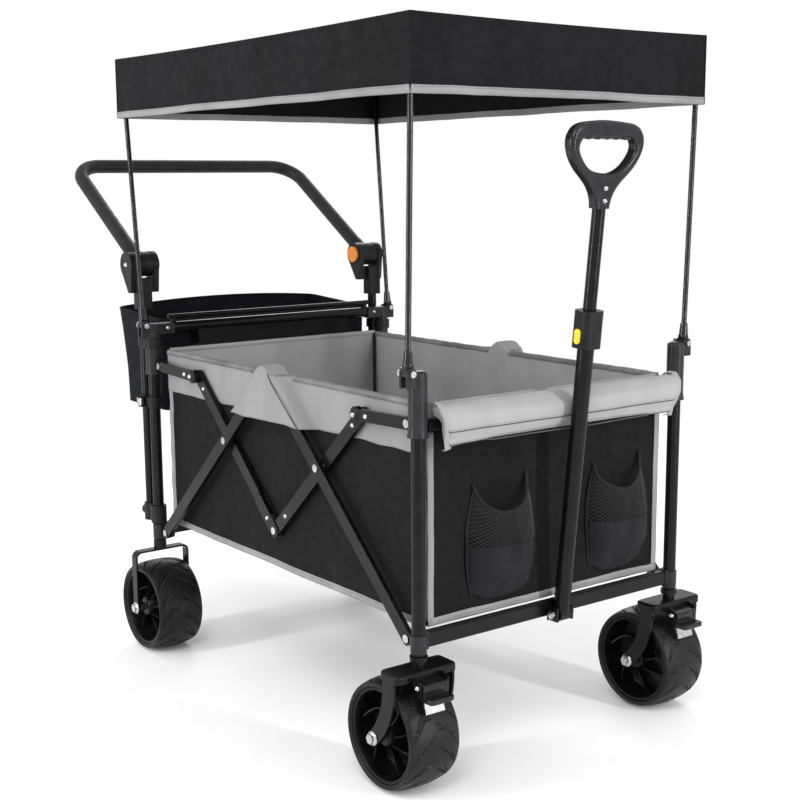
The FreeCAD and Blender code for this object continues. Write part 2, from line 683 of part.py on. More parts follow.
FLAP_BUMP_INNER = 118.0
FLAP_BUMP_OUTER = 150.0
FLAP_BUMP_Y = 302.0
FLAP_CROWN = 20.0
FRONT_PANEL_TOP = 590.0
REAR_PANEL_TOP = 666.0


def side_panel():
    """Left side wall with its flap folded out over the rim and over the apex of the bars."""
    wall = block((-TUB_X, TUB_X), (TUB_SIDE_Y, TUB_SIDE_Y + CLOTH), (FLOOR_TOP, RIM_Z))
    low = TUB_SIDE_Y + CLOTH
    high = low + FLAP_THICKNESS
    bump = FLAP_BUMP_Y
    face = bump + FLAP_THICKNESS
    outside = [(TUB_X, high), (FLAP_BUMP_OUTER, high), (FLAP_BUMP_INNER, face)]
    inside = [(FLAP_BUMP_INNER - 3, bump), (FLAP_BUMP_OUTER - 3, low), (TUB_X, low)]
    outline = outside + [(-x, y) for x, y in reversed(outside)]
    outline += [(-x, y) for x, y in reversed(inside)] + inside
    flap = prism_z(outline, (FLAP_BOTTOM, RIM_Z))
    lid_x = (-FLAP_BUMP_OUTER + 6, FLAP_BUMP_OUTER - 6)
    lid_top = RIM_Z + FLAP_CROWN
    lid = block(lid_x, (low, bump), (lid_top - 2, lid_top))
    lid_wall = block(lid_x, (TUB_SIDE_Y, low), (RIM_Z - 1, lid_top))
    front = block((-FLAP_BUMP_INNER, FLAP_BUMP_INNER), (bump, face), (RIM_Z - 1, lid_top))
    return fuse([wall, flap, lid, lid_wall, front])


def add_tub():
    """Walls and floor of the fabric tub."""
    nodes["side_panels"] = pair(side_panel())
    nodes["floor_panel"] = block((-TUB_X, TUB_X), (-TUB_SIDE_Y, TUB_SIDE_Y), (FLOOR_BOTTOM, FLOOR_TOP))
    wide = (-TUB_SIDE_Y - 3, TUB_SIDE_Y + 3)
    nodes["front_panel"] = block((TUB_X + 2, TUB_X + 6), wide, (FLOOR_BOTTOM, FRONT_PANEL_TOP))
    nodes["rear_panel"] = block((-TUB_X - 5, -TUB_X - 1), wide, (FLOOR_BOTTOM, REAR_PANEL_TOP))


def bumper():
    """Padded roll over the upper front rail with its flap hanging in front."""
    reach = POST_Y - SLEEVE_RADIUS - 2.5
    outline = [(441, 612), (441, 632), (447, 640), (478, 640), (489, 630), (492, 612), (485, 596), (480, 566)]
    outline += [(466, 563), (464, 590)]
    body = prism_y(outline, (-reach, reach))
    return body.cut(disc_y(POST_X, UPPER_RAIL_Z, UPPER_RAIL_RADIUS + 0.3, (-reach, reach)))


POCKET_Y = 137.0
POCKET_HALF = 65.0
POCKET_BOTTOM = 290.0
POCKET_TOP = 500.0


def pocket():
    """Left front pocket: a pouch open at the top, bulging forwards."""
    back = TUB_X + 6
    wall = 3
    low = POCKET_BOTTOM
    belly = [(26, low + 4), (40, low + 30), (44, low + 110), (34, POCKET_TOP)]
    outline = [(back, low)] + [(back + x, z) for x, z in belly] + [(back, POCKET_TOP)]
    room = [(24, low + 8), (36, low + 32), (40, low + 110), (30.5, POCKET_TOP + 2)]
    hollow = [(back + wall, low + 4)] + [(back + x, z) for x, z in room] + [(back + wall, POCKET_TOP + 2)]
    outer = prism_y(outline, (POCKET_Y - POCKET_HALF, POCKET_Y + POCKET_HALF))
    inner = prism_y(hollow, (POCKET_Y - POCKET_HALF + wall, POCKET_Y + POCKET_HALF - wall))
    return outer.cut(inner)


BAG_HALF = 260.0


def bag():
    """Open storage bag hung behind the rear crossbar."""
    outer = prism_y([(-466, 690), (-690, 703), (-652, 500), (-470, 498)], (-BAG_HALF, BAG_HALF))
    inner = prism_y([(-470, 706), (-686, 706), (-648.5, 504), (-474, 502)], (-BAG_HALF + 3, BAG_HALF - 3))
    return outer.cut(inner)


def add_sewn_parts():
    """Bumper roll, pockets and rear bag."""
    nodes["front_bumper"] = bumper()
    nodes["front_pockets"] = pair(pocket())
    nodes["rear_basket"] = bag()


# ---------------------------------------------------------------- pull handle

HANDLE_PLACE = Placement(Vector(HANDLE_X, 0, HANDLE_Z), Rotation(Y_AXIS, math.degrees(HANDLE_LEAN)))


def on_handle(shape):
    """Move a piece modelled upright, with the foot pivot at the origin, onto the leaning handle."""
    shape.Placement = HANDLE_PLACE.multiply(shape.Placement)
    return shape


def oval_prism(y_range, width, height, z):
    """Upright oval plate across Y, centred at a height on the handle."""
    straight = (height - width) / 2
    low, high = min(y_range), max(y_range)
    middle = block((-width / 2, width / 2), (low, high), (z - straight, z + straight))
    ends = [disc_y(0, at, width / 2, (low, high)) for at in (z - straight, z + straight)]
    return fuse([middle] + ends)


BUTTON_Z = 487.0


def handle_coupling():
    """Plastic coupling at the top of the outer tube, with a pocket for each button."""
    body = block((-19, 19), (-21.5, 21.5), (COUPLING_BOTTOM, COUPLING_TOP))
    body = body.makeFillet(13, edges_along(body, Z_AXIS))
    body = body.cut(disc_z(0, 0, OUTER_TUBE_RADIUS, (COUPLING_BOTTOM, COUPLING_TOP - 24)))
    body = body.cut(disc_z(0, 0, INNER_TUBE_RADIUS + RUNNING_GAP, (COUPLING_BOTTOM, COUPLING_TOP)))
    for side in SIDES:
        body = body.cut(oval_prism((side * 14.2, side * 30), 12.6, 25.6, BUTTON_Z))
    return body


LOBE_PITCH = 20.0
LOBE_RISE = 117.5
GRIP_SOCKET = 18.0
GRIP_ROUNDING = 7.5
INNER_TUBE_BOTTOM = 285.0


def grip():
    """D-shaped hand grip, rounded all over, with finger scallops under the top bar."""
    bottom = GRIP_BOTTOM
    half = GRIP_DEPTH / 2
    right = [(16.5, 0), (17.5, 9), (28, 31), (57, 58), (78, 88), (81, 107), (71, 126), (40, 135)]
    outline = [Vector(-half, y, bottom + z) for y, z in right]
    outline.append(Vector(-half, 0, bottom + 137.5))
    outline += [Vector(-half, -y, bottom + z) for y, z in reversed(right)]
    curve = Part.BSplineCurve()
    curve.interpolate(outline)
    neck = Part.makeLine(outline[-1], outline[0])
    shell = Part.Face(Part.Wire([curve.toShape(), neck])).extrude(Vector(GRIP_DEPTH, 0, 0))
    rims = [edge for edge in shell.Edges if edge.BoundBox.ZLength > 20]
    shell = shell.makeFillet(GRIP_ROUNDING, rims)
    hole_points = [(0, 55), (33, 61.5), (54, 80), (61, 97), (55, 108), (28, 111)]
    ring = [Vector(-half - 1, y, bottom + z) for y, z in hole_points]
    ring += [Vector(-half - 1, -y, bottom + z) for y, z in reversed(hole_points[1:])]
    hole_curve = Part.BSplineCurve()
    hole_curve.interpolate(ring, PeriodicFlag=True)
    hole = Part.Face(Part.Wire([hole_curve.toShape()])).extrude(Vector(GRIP_DEPTH + 2, 0, 0))
    body = shell.cut(hole)
    inside = [edge for edge in body.Edges if within_hole(edge, half)]
    body = body.makeFillet(GRIP_ROUNDING - 1, inside)
    lobes = []
    for index in (-2, -1, 0, 1, 2):
        lobe = disc_x(index * LOBE_PITCH, bottom + LOBE_RISE, LOBE_PITCH / 2, (-half + 3, half - 3))
        lobes.append(lobe.makeFillet(4, lobe.Edges[:1] + lobe.Edges[2:]))
    body = fuse([body] + lobes)
    return body.cut(disc_z(0, 0, INNER_TUBE_RADIUS, (bottom, bottom + GRIP_SOCKET)))


def within_hole(edge, half):
    """Whether an edge is the rim of the finger hole on one of the grip's faces."""
    box = edge.BoundBox
    return box.XLength < 0.01 and abs(abs(box.XMin) - half) < 0.01 and 50 < box.YMax < 66 and box.YMin < -50


def add_pull_handle():
    """Foot bracket, telescoping tubes, coupling with two buttons, and the grip."""
    back = block((LOWER_RAIL_X[1], LOWER_RAIL_X[1] + 1.2), (-19, 19), (231, 268))
    ears = [block((LOWER_RAIL_X[1], HANDLE_X + 10), (side * 15, side * 19), (233, 258)) for side in SIDES]
    bracket = fuse([back] + ears)
    nodes["handle_foot_bracket"] = bracket.cut(disc_y(HANDLE_X, HANDLE_Z, 4, (-20, 20)))

    outer = disc_z(0, 0, OUTER_TUBE_RADIUS, (0, COUPLING_TOP - 24))
    half = OUTER_TUBE_RADIUS - 2
    outer = fuse([outer, disc_y(0, 0, OUTER_TUBE_RADIUS - 0.5, (-half, half))])
    outer = outer.cut(disc_z(0, 0, OUTER_TUBE_RADIUS - 1.8, (16, COUPLING_TOP)))
    outer = outer.cut(disc_y(0, 0, 4 + RUNNING_GAP, (-20, 20)))
    nodes["pull_outer_tube"] = on_handle(outer)
    nodes["pull_coupling"] = on_handle(handle_coupling())
    reach = (INNER_TUBE_BOTTOM, GRIP_BOTTOM + GRIP_SOCKET)
    inner = disc_z(0, 0, INNER_TUBE_RADIUS, reach)
    inner = inner.cut(disc_z(0, 0, INNER_TUBE_RADIUS - POST_WALL, reach))
    nodes["pull_inner_tube"] = on_handle(inner)
    nodes["pull_grip"] = on_handle(grip())
    for side, name in zip(SIDES, ("right", "left")):
        button = oval_prism((side * 16.9, side * 24), 12, 25, BUTTON_Z)
        nodes["pull_button_" + name] = on_handle(button)


# ---------------------------------------------------------------- push handle

GUIDE_LEVELS = ((515.0, 536.0), (640.0, 660.0))
LOW_SOCKET = (266.0, 303.0)
SLIDE_BOTTOM = 270.0


def guide(z_range):
    """Left clip that ties the sliding tube to the rear post."""
    base = POST_RADIUS if z_range[0] < SLEEVE_BOTTOM else SLEEVE_RADIUS
    ring = disc_z(-POST_X, POST_Y, base + 3.5, z_range)
    eye = disc_z(SLIDE_X, POST_Y, SLIDE_RADIUS + 4, z_range)
    web = block((SLIDE_X, -POST_X), (POST_Y - 8, POST_Y + 8), z_range)
    whole = fuse([ring, eye, web])
    whole = whole.cut(disc_z(-POST_X, POST_Y, base, z_range))
    return whole.cut(disc_z(SLIDE_X, POST_Y, SLIDE_RADIUS + RUNNING_GAP, z_range))


def low_socket():
    """Left blind socket that the sliding tube stands in when it is down."""
    ring = disc_z(-POST_X, POST_Y, POST_RADIUS + 5, LOW_SOCKET)
    eye = disc_z(SLIDE_X, POST_Y, SLIDE_RADIUS + 4, LOW_SOCKET)
    web = block((SLIDE_X, -POST_X), (POST_Y - 9, POST_Y + 9), LOW_SOCKET)
    knob = disc_x(POST_Y, sum(LOW_SOCKET) / 2, 11, (SLIDE_X - SLIDE_RADIUS - 12, SLIDE_X - SLIDE_RADIUS - 2))
    whole = fuse([ring, eye, web, knob])
    whole = whole.cut(disc_z(-POST_X, POST_Y, POST_RADIUS, LOW_SOCKET))
    bore = (SLIDE_BOTTOM - 0.5, LOW_SOCKET[1])
    return whole.cut(disc_z(SLIDE_X, POST_Y, SLIDE_RADIUS + RUNNING_GAP, bore))


LEVER_PIN_Y = POST_Y + 22.0


def lever_mount():
    """Two small ears on the middle clip for the quick-release lever."""
    low, high = GUIDE_LEVELS[0]
    shelf = [(low, low + 3), (high - 3, high)]
    ears = [block((-476, -464), (POST_Y + 8, LEVER_PIN_Y + 4), span) for span in shelf]
    pin = disc_z(-470, LEVER_PIN_Y, 2, (low, high))
    return ears + [pin]


CHEEKS = ((258.0, 270.0), (308.0, 322.0))
BAR_HUB = (270.4, 307.6)
BUTTON_POCKET = 266.0
HUB_AXLE = 6.0
CONNECTOR_LEVELS = (718.0, 752.0, 782.0)
SLIDE_TOP = 750.0
TILT_BUTTON_RADIUS = 18.0
ELBOW = 44.0


def connector():
    """Left moulding on top of the sliding tube, forked to hold the tilting hub."""
    low, shoulder, high = CONNECTOR_LEVELS
    body = block((SLIDE_X - 15, SLIDE_X + 15), (POST_Y - 16, POST_Y + 16), (low, high))
    body = body.makeFillet(6, edges_along(body, Z_AXIS))
    yoke = block((SLIDE_X - 15, SLIDE_X), (CHEEKS[0][0], CHEEKS[1][1]), (shoulder, high))
    parts = [body, yoke]
    for cheek in CHEEKS:
        parts.append(disc_y(HUB_X, HUB_Z, PUSH_HUB_RADIUS, cheek))
        foot = [(HUB_X - 24, HUB_Z - 11), (SLIDE_X - 13, shoulder), (SLIDE_X, shoulder)]
        foot.append((HUB_X + 25, HUB_Z - 8))
        parts.append(prism_y(foot, cheek))
    parts.append(disc_y(HUB_X, HUB_Z, HUB_AXLE, (BUTTON_POCKET, CHEEKS[1][1])))
    whole = fuse(parts)
    whole = whole.cut(disc_z(SLIDE_X, POST_Y, SLIDE_RADIUS, (low, SLIDE_TOP)))
    return whole.cut(disc_y(HUB_X, HUB_Z, TILT_BUTTON_RADIUS + 0.3, (CHEEKS[0][0] - 1, BUTTON_POCKET)))


def push_bar():
    """Foam-covered U bar, swept along two arms and the cross bar with round corners."""
    arm = Vector(BAR_X - HUB_X, 0, BAR_Z - HUB_Z)
    unit = Vector(arm).normalize()
    start = Vector(HUB_X, -ARM_Y, HUB_Z) + unit * ELBOW
    corner = Vector(HUB_X, -ARM_Y, HUB_Z) + arm
    before = corner - unit * BAR_BEND
    after = corner + Vector(0, BAR_BEND, 0)
    centre = before + Vector(0, BAR_BEND, 0)
    middle = centre + (corner - centre).normalize() * BAR_BEND
    edges = [Part.makeLine(start, before), Part.Arc(before, middle, after).toShape()]
    other = [mirror_point(point) for point in (start, before, middle, after)]
    edges.append(Part.makeLine(after, other[3]))
    edges.append(Part.Arc(other[3], other[2], other[1]).toShape())
    edges.append(Part.makeLine(other[1], other[0]))
    path = Part.Wire(edges)
    section = Part.Wire([Part.makeCircle(BAR_RADIUS, start, unit)])
    return path.makePipeShell([section], True, False)


def hub():
    """Left tilting hub with the elbow that the bar's arm is pressed into."""
    arm = Vector(BAR_X - HUB_X, 0, BAR_Z - HUB_Z).normalize()
    centre = Vector(HUB_X, ARM_Y, HUB_Z)
    drum = disc_y(HUB_X, HUB_Z, PUSH_HUB_RADIUS - 0.7, BAR_HUB)
    elbow = rod(centre, centre + arm * ELBOW, BAR_RADIUS + 1)
    whole = fuse([drum, elbow])
    return whole.cut(disc_y(HUB_X, HUB_Z, HUB_AXLE + RUNNING_GAP, (200, 400)))


def release_lever():
    """Left quick-release lever on the middle clip."""
    low, high = GUIDE_LEVELS[0]
    body = block((-486, -466), (LEVER_PIN_Y - 2.5, LEVER_PIN_Y + 2.5), (low + 3.3, high - 3.3))
    body = fuse([body, disc_z(-470, LEVER_PIN_Y, 4, (low + 3.3, high - 3.3))])
    return body.cut(disc_z(-470, LEVER_PIN_Y, 2 + RUNNING_GAP, (low, high)))


def add_push_handle():
    """Guides on the rear frame, sliding tubes, forked connectors, tilting bar and buttons."""
    middle = fuse([guide(GUIDE_LEVELS[0])] + lever_mount())
    nodes["push_guide_clips"] = solids(pair(middle), pair(guide(GUIDE_LEVELS[1])), pair(low_socket()))
    foot = Vector(SLIDE_X, POST_Y, SLIDE_BOTTOM)
    tube = pipe(foot, Vector(SLIDE_X, POST_Y, SLIDE_TOP), SLIDE_RADIUS, POST_WALL)
    nodes["push_slide_tubes"] = pair(tube)
    nodes["push_connectors"] = pair(connector())
    nodes["push_bar"] = push_bar()
    nodes["push_hubs"] = pair(hub())
    button = disc_y(HUB_X, HUB_Z, TILT_BUTTON_RADIUS, (253, 262.5))
    lever = release_lever()
    for name, place in (("right", mirror_y), ("left", Part.Shape.copy)):
        nodes["hub_button_" + name] = place(button)
        nodes["release_lever_" + name] = place(lever)


# ---------------------------------------------------------------- whole wagon

ROLLING = ("rear_forks", "rear_tyre", "rear_rim", "front_tyre", "front_rim", "caster", "brake")


def build():
    """Make every node and centre the wagon's footprint on the origin."""
    add_posts()
    add_rails()
    add_fittings()
    add_canopy()
    add_wheels()
    add_linkage()
    add_fasteners()
    add_tub()
    add_sewn_parts()
    add_pull_handle()
    add_push_handle()
    for name, shape in nodes.items():
        if not name.startswith(ROLLING):
            shape.translate(Vector(0, 0, FRAME_RISE))
    whole = Part.makeCompound(list(nodes.values())).optimalBoundingBox(False, False)
    shift = -(whole.XMin + whole.XMax) / 2
    for shape in nodes.values():
        shape.translate(Vector(shift, 0, 0))
    return shift, whole


origin_shift, bounding_box = build()
os.makedirs("parts", exist_ok=True)
for node_name, node_shape in nodes.items():
    node_shape.exportStep("parts/" + node_name + ".step")
print(len(nodes), "nodes, origin shift", round(origin_shift, 3))
sides = (bounding_box.XLength, bounding_box.YLength, bounding_box.ZLength)
print("size", [round(side, 2) for side in sides])
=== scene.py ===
"""Looks of a folding utility wagon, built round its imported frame.

Metres, +X towards the pull handle, +Y to the wagon's left, +Z up.
"""

import cmath
import json
import math

import bpy
import numpy as np
from mathutils import Matrix, Vector, noise
from mathutils.bvhtree import BVHTree


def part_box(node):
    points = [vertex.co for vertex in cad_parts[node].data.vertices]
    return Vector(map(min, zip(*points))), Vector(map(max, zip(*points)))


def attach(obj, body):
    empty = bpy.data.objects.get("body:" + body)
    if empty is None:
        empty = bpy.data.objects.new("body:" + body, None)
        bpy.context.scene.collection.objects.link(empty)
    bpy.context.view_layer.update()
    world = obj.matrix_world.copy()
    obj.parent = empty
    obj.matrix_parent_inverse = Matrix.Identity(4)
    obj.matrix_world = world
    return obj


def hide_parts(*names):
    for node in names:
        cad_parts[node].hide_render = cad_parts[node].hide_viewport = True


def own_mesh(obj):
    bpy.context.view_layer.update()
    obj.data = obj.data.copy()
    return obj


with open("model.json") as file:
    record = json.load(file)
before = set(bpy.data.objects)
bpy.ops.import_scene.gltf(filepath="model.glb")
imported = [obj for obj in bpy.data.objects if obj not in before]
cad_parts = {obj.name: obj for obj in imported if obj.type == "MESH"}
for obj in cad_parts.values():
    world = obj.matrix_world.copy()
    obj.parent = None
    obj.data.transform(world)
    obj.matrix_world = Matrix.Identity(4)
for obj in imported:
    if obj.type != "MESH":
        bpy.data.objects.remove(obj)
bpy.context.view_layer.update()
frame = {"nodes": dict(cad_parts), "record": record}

SIDES = (("right", -1), ("left", 1))
X_AXIS = Vector((1, 0, 0))
Y_AXIS = Vector((0, 1, 0))
Z_AXIS = Vector((0, 0, 1))


# ---------------------------------------------------------------- materials

class Surface:
    """A material being wired: its node tree, its shader and short ways to add nodes."""

    def __init__(self, name):
        self.material = bpy.data.materials.new(name)
        self.material.use_nodes = True
        self.tree = self.material.node_tree
        self.shader = self.tree.nodes["Principled BSDF"]
        self.coords = self.tree.nodes.new("ShaderNodeTexCoord")

    def put(self, socket, value):
        """Link a node's output to a socket, or set the socket's own value."""
        if isinstance(value, bpy.types.NodeSocket):
            self.tree.links.new(value, socket)
        else:
            socket.default_value = value

    def node(self, kind, inputs, **settings):
        made = self.tree.nodes.new(kind)
        for key, value in settings.items():
            setattr(made, key, value)
        for key, value in inputs.items():
            self.put(made.inputs[key], value)
        return made

    def math(self, operation, first, second=0.0):
        return self.node("ShaderNodeMath", {0: first, 1: second}, operation=operation).outputs[0]

    def noise(self, scale, detail=3.0, stretch=(1, 1, 1)):
        """Noise in the row frame, so that it needs no UVs."""
        here = self.coords.outputs["Object"]
        place = self.node("ShaderNodeMapping", {"Vector": here, "Scale": stretch}).outputs[0]
        inputs = {"Vector": place, "Scale": scale, "Detail": detail}
        return self.node("ShaderNodeTexNoise", inputs).outputs[0]

    def between(self, value, low, high):
        """A noise value spread over low to high."""
        inputs = {"Value": value, "From Min": 0.3, "From Max": 0.7, "To Min": low, "To Max": high}
        return self.node("ShaderNodeMapRange", inputs).outputs[0]

    def tint(self, value, dark, light):
        inputs = {0: value, 6: (*dark, 1), 7: (*light, 1)}
        return self.node("ShaderNodeMix", inputs, data_type="RGBA").outputs[2]

    def bump(self, height, strength, distance, under=None):
        inputs = {"Height": height, "Strength": strength, "Distance": distance}
        if under is not None:
            inputs["Normal"] = under
        return self.node("ShaderNodeBump", inputs).outputs[0]

    def soft_edges(self, radius):
        """Normals that round off the sharp edges of a machined part."""
        made = self.node("ShaderNodeBevel", {"Radius": radius}, samples=4)
        return made.outputs[0]

    def weave(self, pitch):
        """Plain weave on the piece's UVs, which are in metres."""
        split = self.node("ShaderNodeSeparateXYZ", {"Vector": self.coords.outputs["UV"]})
        turns = 2 * math.pi / pitch
        across = self.math("SINE", self.math("MULTIPLY", split.outputs[0], turns))
        along = self.math("SINE", self.math("MULTIPLY", split.outputs[1], turns))
        return self.math("MULTIPLY", across, along)

    def finish(self, colour, roughness, normal, **constants):
        self.put(self.shader.inputs["Base Color"], colour)
        self.put(self.shader.inputs["Roughness"], roughness)
        self.put(self.shader.inputs["Normal"], normal)
        for key, value in constants.items():
            self.shader.inputs[key.replace("_", " ")].default_value = value
        return self.material


def fabric(name, dark, light, pitch=0.0011, crease=0.35):
    """Woven polyester: thread relief, faint streaks of colour and soft creases."""
    made = Surface(name)
    weave = made.weave(pitch)
    streaks = made.noise(14, 4, (1, 1, 0.25))
    cloudy = made.math("ADD", made.between(streaks, 0.1, 0.75), made.math("MULTIPLY", weave, 0.12))
    relief = made.bump(made.noise(24, 3), crease, 0.004)
    relief = made.bump(made.noise(900, 2), 0.25, 0.0003, relief)
    relief = made.bump(weave, 0.35, 0.0003, relief)
    colour = made.tint(cloudy, dark, light)
    rough = made.between(made.noise(60, 3), 0.7, 0.92)
    return made.finish(colour, rough, relief, Sheen_Weight=0.01, Sheen_Roughness=0.5,
                       Specular_IOR_Level=0.12)


def plastic(name, dark, light, roughness, grain=1400, relief=0.2, gloss=0.16):
    """Moulded plastic: fine grain, slight flow marks and rubbed patches."""
    made = Surface(name)
    patches = made.noise(38, 4)
    scuffs = made.noise(160, 6, (1, 1, 0.15))
    colour = made.tint(made.between(patches, 0.0, 1.0), dark, light)
    rough = made.between(made.math("MULTIPLY", patches, made.math("ADD", scuffs, 0.5)), *roughness)
    normal = made.bump(made.noise(70, 2), 0.06, 0.0015, made.soft_edges(0.0012))
    normal = made.bump(made.noise(grain, 2), relief, 0.0002, normal)
    return made.finish(colour, rough, normal, Specular_IOR_Level=gloss)


def powder_coat(name, dark, light, roughness, gloss=0.17):
    """Painted steel tube: orange-peel skin, faint dust and rubbed spots."""
    made = Surface(name)
    dust = made.noise(30, 5)
    peel = made.noise(420, 2)
    colour = made.tint(made.between(dust, 0.0, 1.0), dark, light)
    rough = made.between(made.noise(55, 5), *roughness)
    normal = made.bump(peel, 0.12, 0.0004, made.soft_edges(0.0012))
    return made.finish(colour, rough, normal, Specular_IOR_Level=gloss)


def steel(name, dark, light, roughness):
    """Zinc-plated steel: fine drawn lines and cloudy plating."""
    made = Surface(name)
    clouds = made.noise(120, 4)
    lines = made.noise(500, 3, (0.15, 1, 1))
    colour = made.tint(made.between(clouds, 0.0, 1.0), dark, light)
    rough = made.between(lines, *roughness)
    return made.finish(colour, rough, made.bump(lines, 0.15, 0.0003), Metallic=1.0)


def rubber(name, dark, light, roughness):
    """Tyre rubber or foam skin: pores, mould bloom and dusty patches."""
    made = Surface(name)
    bloom = made.noise(26, 5)
    pores = made.noise(1100, 3)
    colour = made.tint(made.between(bloom, 0.0, 1.0), dark, light)
    rough = made.between(made.noise(80, 5), *roughness)
    normal = made.bump(made.noise(90, 3), 0.12, 0.0012)
    normal = made.bump(pores, 0.3, 0.0003, normal)
    return made.finish(colour, rough, normal, Specular_IOR_Level=0.2)


BLACK_CLOTH = fabric("black_cloth", (0.0035, 0.0035, 0.004), (0.008, 0.008, 0.0085))
CANOPY_CLOTH = fabric("canopy_cloth", (0.0035, 0.0035, 0.004), (0.0075, 0.0075, 0.009), crease=0.25)
NAVY_CLOTH = fabric("navy_cloth", (0.0025, 0.0025, 0.006), (0.005, 0.005, 0.011))
POCKET_CLOTH = fabric("pocket_cloth", (0.010, 0.010, 0.011), (0.020, 0.020, 0.022), 0.0014)
GREY_CLOTH = fabric("grey_cloth", (0.25, 0.25, 0.255), (0.33, 0.33, 0.335), crease=0.45)
# Darker copy of the grey lining cloth for the flap, where the lining hangs outside: painted shade that
# offsets the stronger light falling on the flap
SHADED_FLAP_CLOTH = fabric("flap_cloth_painted_shade", (0.20, 0.20, 0.203), (0.27, 0.27, 0.273), crease=0.45)
PALE_CLOTH = fabric("pale_cloth", (0.27, 0.27, 0.273), (0.34, 0.34, 0.343), crease=0.3)
BINDING = fabric("binding_tape", (0.19, 0.19, 0.193), (0.27, 0.27, 0.273), 0.0022, crease=0.6)
RIM_TAPE = fabric("rim_tape", (0.08, 0.08, 0.082), (0.25, 0.25, 0.253), 0.0034, crease=0.9)
THREAD = fabric("thread", (0.05, 0.05, 0.052), (0.10, 0.10, 0.102), 0.0006)
DARK_THREAD = fabric("dark_thread", (0.006, 0.006, 0.007), (0.018, 0.018, 0.02), 0.0006)
NETTING = fabric("netting", (0.03, 0.03, 0.032), (0.06, 0.06, 0.062), 0.0008)
FRAME_PAINT = powder_coat("frame_paint", (0.003, 0.003, 0.0035), (0.006, 0.006, 0.0065), (0.14, 0.27))
ROD_PAINT = powder_coat("rod_paint", (0.003, 0.003, 0.0035), (0.006, 0.006, 0.0065), (0.09, 0.16), 0.4)
MATT_PLASTIC = plastic("matt_plastic", (0.006, 0.006, 0.0065), (0.012, 0.012, 0.013), (0.34, 0.52))
SLEEVE_PLASTIC = plastic("sleeve_plastic", (0.014, 0.014, 0.015), (0.024, 0.024, 0.026), (0.26, 0.40))
RIM_PLASTIC = plastic("rim_plastic", (0.002, 0.002, 0.0025), (0.005, 0.005, 0.0055), (0.26, 0.42))
PEDAL_PLASTIC = plastic("pedal_plastic", (0.003, 0.003, 0.0035), (0.008, 0.008, 0.009), (0.14, 0.26),
                        500, 0.3, 0.35)
GRIP_PLASTIC = plastic("grip_plastic", (0.008, 0.008, 0.010), (0.013, 0.013, 0.016), (0.2, 0.32),
                       900, 0.1, 0.3)
ORANGE = plastic("orange_plastic", (0.76, 0.23, 0.035), (0.86, 0.30, 0.055), (0.3, 0.45))
YELLOW = plastic("yellow_plastic", (0.88, 0.50, 0.02), (0.95, 0.60, 0.05), (0.3, 0.45))
BRIGHT = steel("bright_steel", (0.42, 0.42, 0.43), (0.62, 0.62, 0.63), (0.16, 0.32))
TYRE = rubber("tyre_rubber", (0.004, 0.004, 0.0045), (0.010, 0.010, 0.0105), (0.36, 0.52))
FOAM = rubber("foam_skin", (0.008, 0.008, 0.009), (0.014, 0.014, 0.015), (0.42, 0.58))

SLOTS = {
    "black_fabric": (BLACK_CLOTH, CANOPY_CLOTH, NAVY_CLOTH, POCKET_CLOTH, NETTING, DARK_THREAD),
    "grey_fabric": (GREY_CLOTH, PALE_CLOTH, BINDING, RIM_TAPE, THREAD),
    "frame_steel": (FRAME_PAINT,),
    "black_plastic": (MATT_PLASTIC, RIM_PLASTIC),
    "bright_steel": (BRIGHT,),
    "tyre_rubber": (TYRE,),
}
SLOT_OF = {material.name: slot for slot, materials in SLOTS.items() for material in materials}


# ---------------------------------------------------------------- mesh helpers

CLOTH = 0.0012
TRIM = 0.0011
THIN_CLOTH = 0.001

def piece(name, points, faces, material, body, uvs=None):
    """A mesh object in the row frame, riding on a body."""
    mesh = bpy.data.meshes.new(name)
    mesh.from_pydata([tuple(point) for point in points], [], faces)
    mesh.materials.append(material)
    mesh.polygons.foreach_set("use_smooth", [True] * len(faces))
    if uvs is not None:
        layer = mesh.uv_layers.new(name="UVMap")
        layer.data.foreach_set("uv", [value for uv in uvs for value in uv])
    mesh.update()
    made = bpy.data.objects.new(name, mesh)
    bpy.context.scene.collection.objects.link(made)
    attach(made, body)
    return made


def grid(name, surface, cells, size, material, body, closed=False, thickness=CLOTH):
    """Sheet of surface(u, v) points; cells and size are (across, along); closed joins its two ends."""
    columns, rows = cells
    count = columns if closed else columns + 1
    points = [surface(i / columns, j / rows) for j in range(rows + 1) for i in range(count)]
    faces = []
    uvs = []
    for j in range(rows):
        for i in range(columns):
            after = (i + 1) % count
            faces.append((j * count + i, j * count + after, (j + 1) * count + after, (j + 1) * count + i))
            for a, b in ((i, j), (i + 1, j), (i + 1, j + 1), (i, j + 1)):
                uvs.append((a / columns * size[0], b / rows * size[1]))
    made = piece(name, points, faces, material, body, uvs)
    thicken(made, thickness)
    return made


def thicken(made, thickness):
    """Give a sheet its cloth thickness, half to each side."""
    solid = made.modifiers.new("thickness", "SOLIDIFY")
    solid.thickness = thickness
    solid.offset = 0.0


def resampled(path, pitch):
    """Points about a pitch apart along a polyline."""
    points = np.array([tuple(point) for point in path], float)
    steps = np.linalg.norm(np.diff(points, axis=0), axis=1)
    along = np.concatenate([[0.0], np.cumsum(steps)])
    count = max(2, round(along[-1] / pitch))
    at = np.linspace(0.0, along[-1], count)
    return np.stack([np.interp(at, along, points[:, k]) for k in range(3)], axis=1)


def tangents(points):
    found = np.gradient(points, axis=0)
    return found / np.linalg.norm(found, axis=1)[:, None]


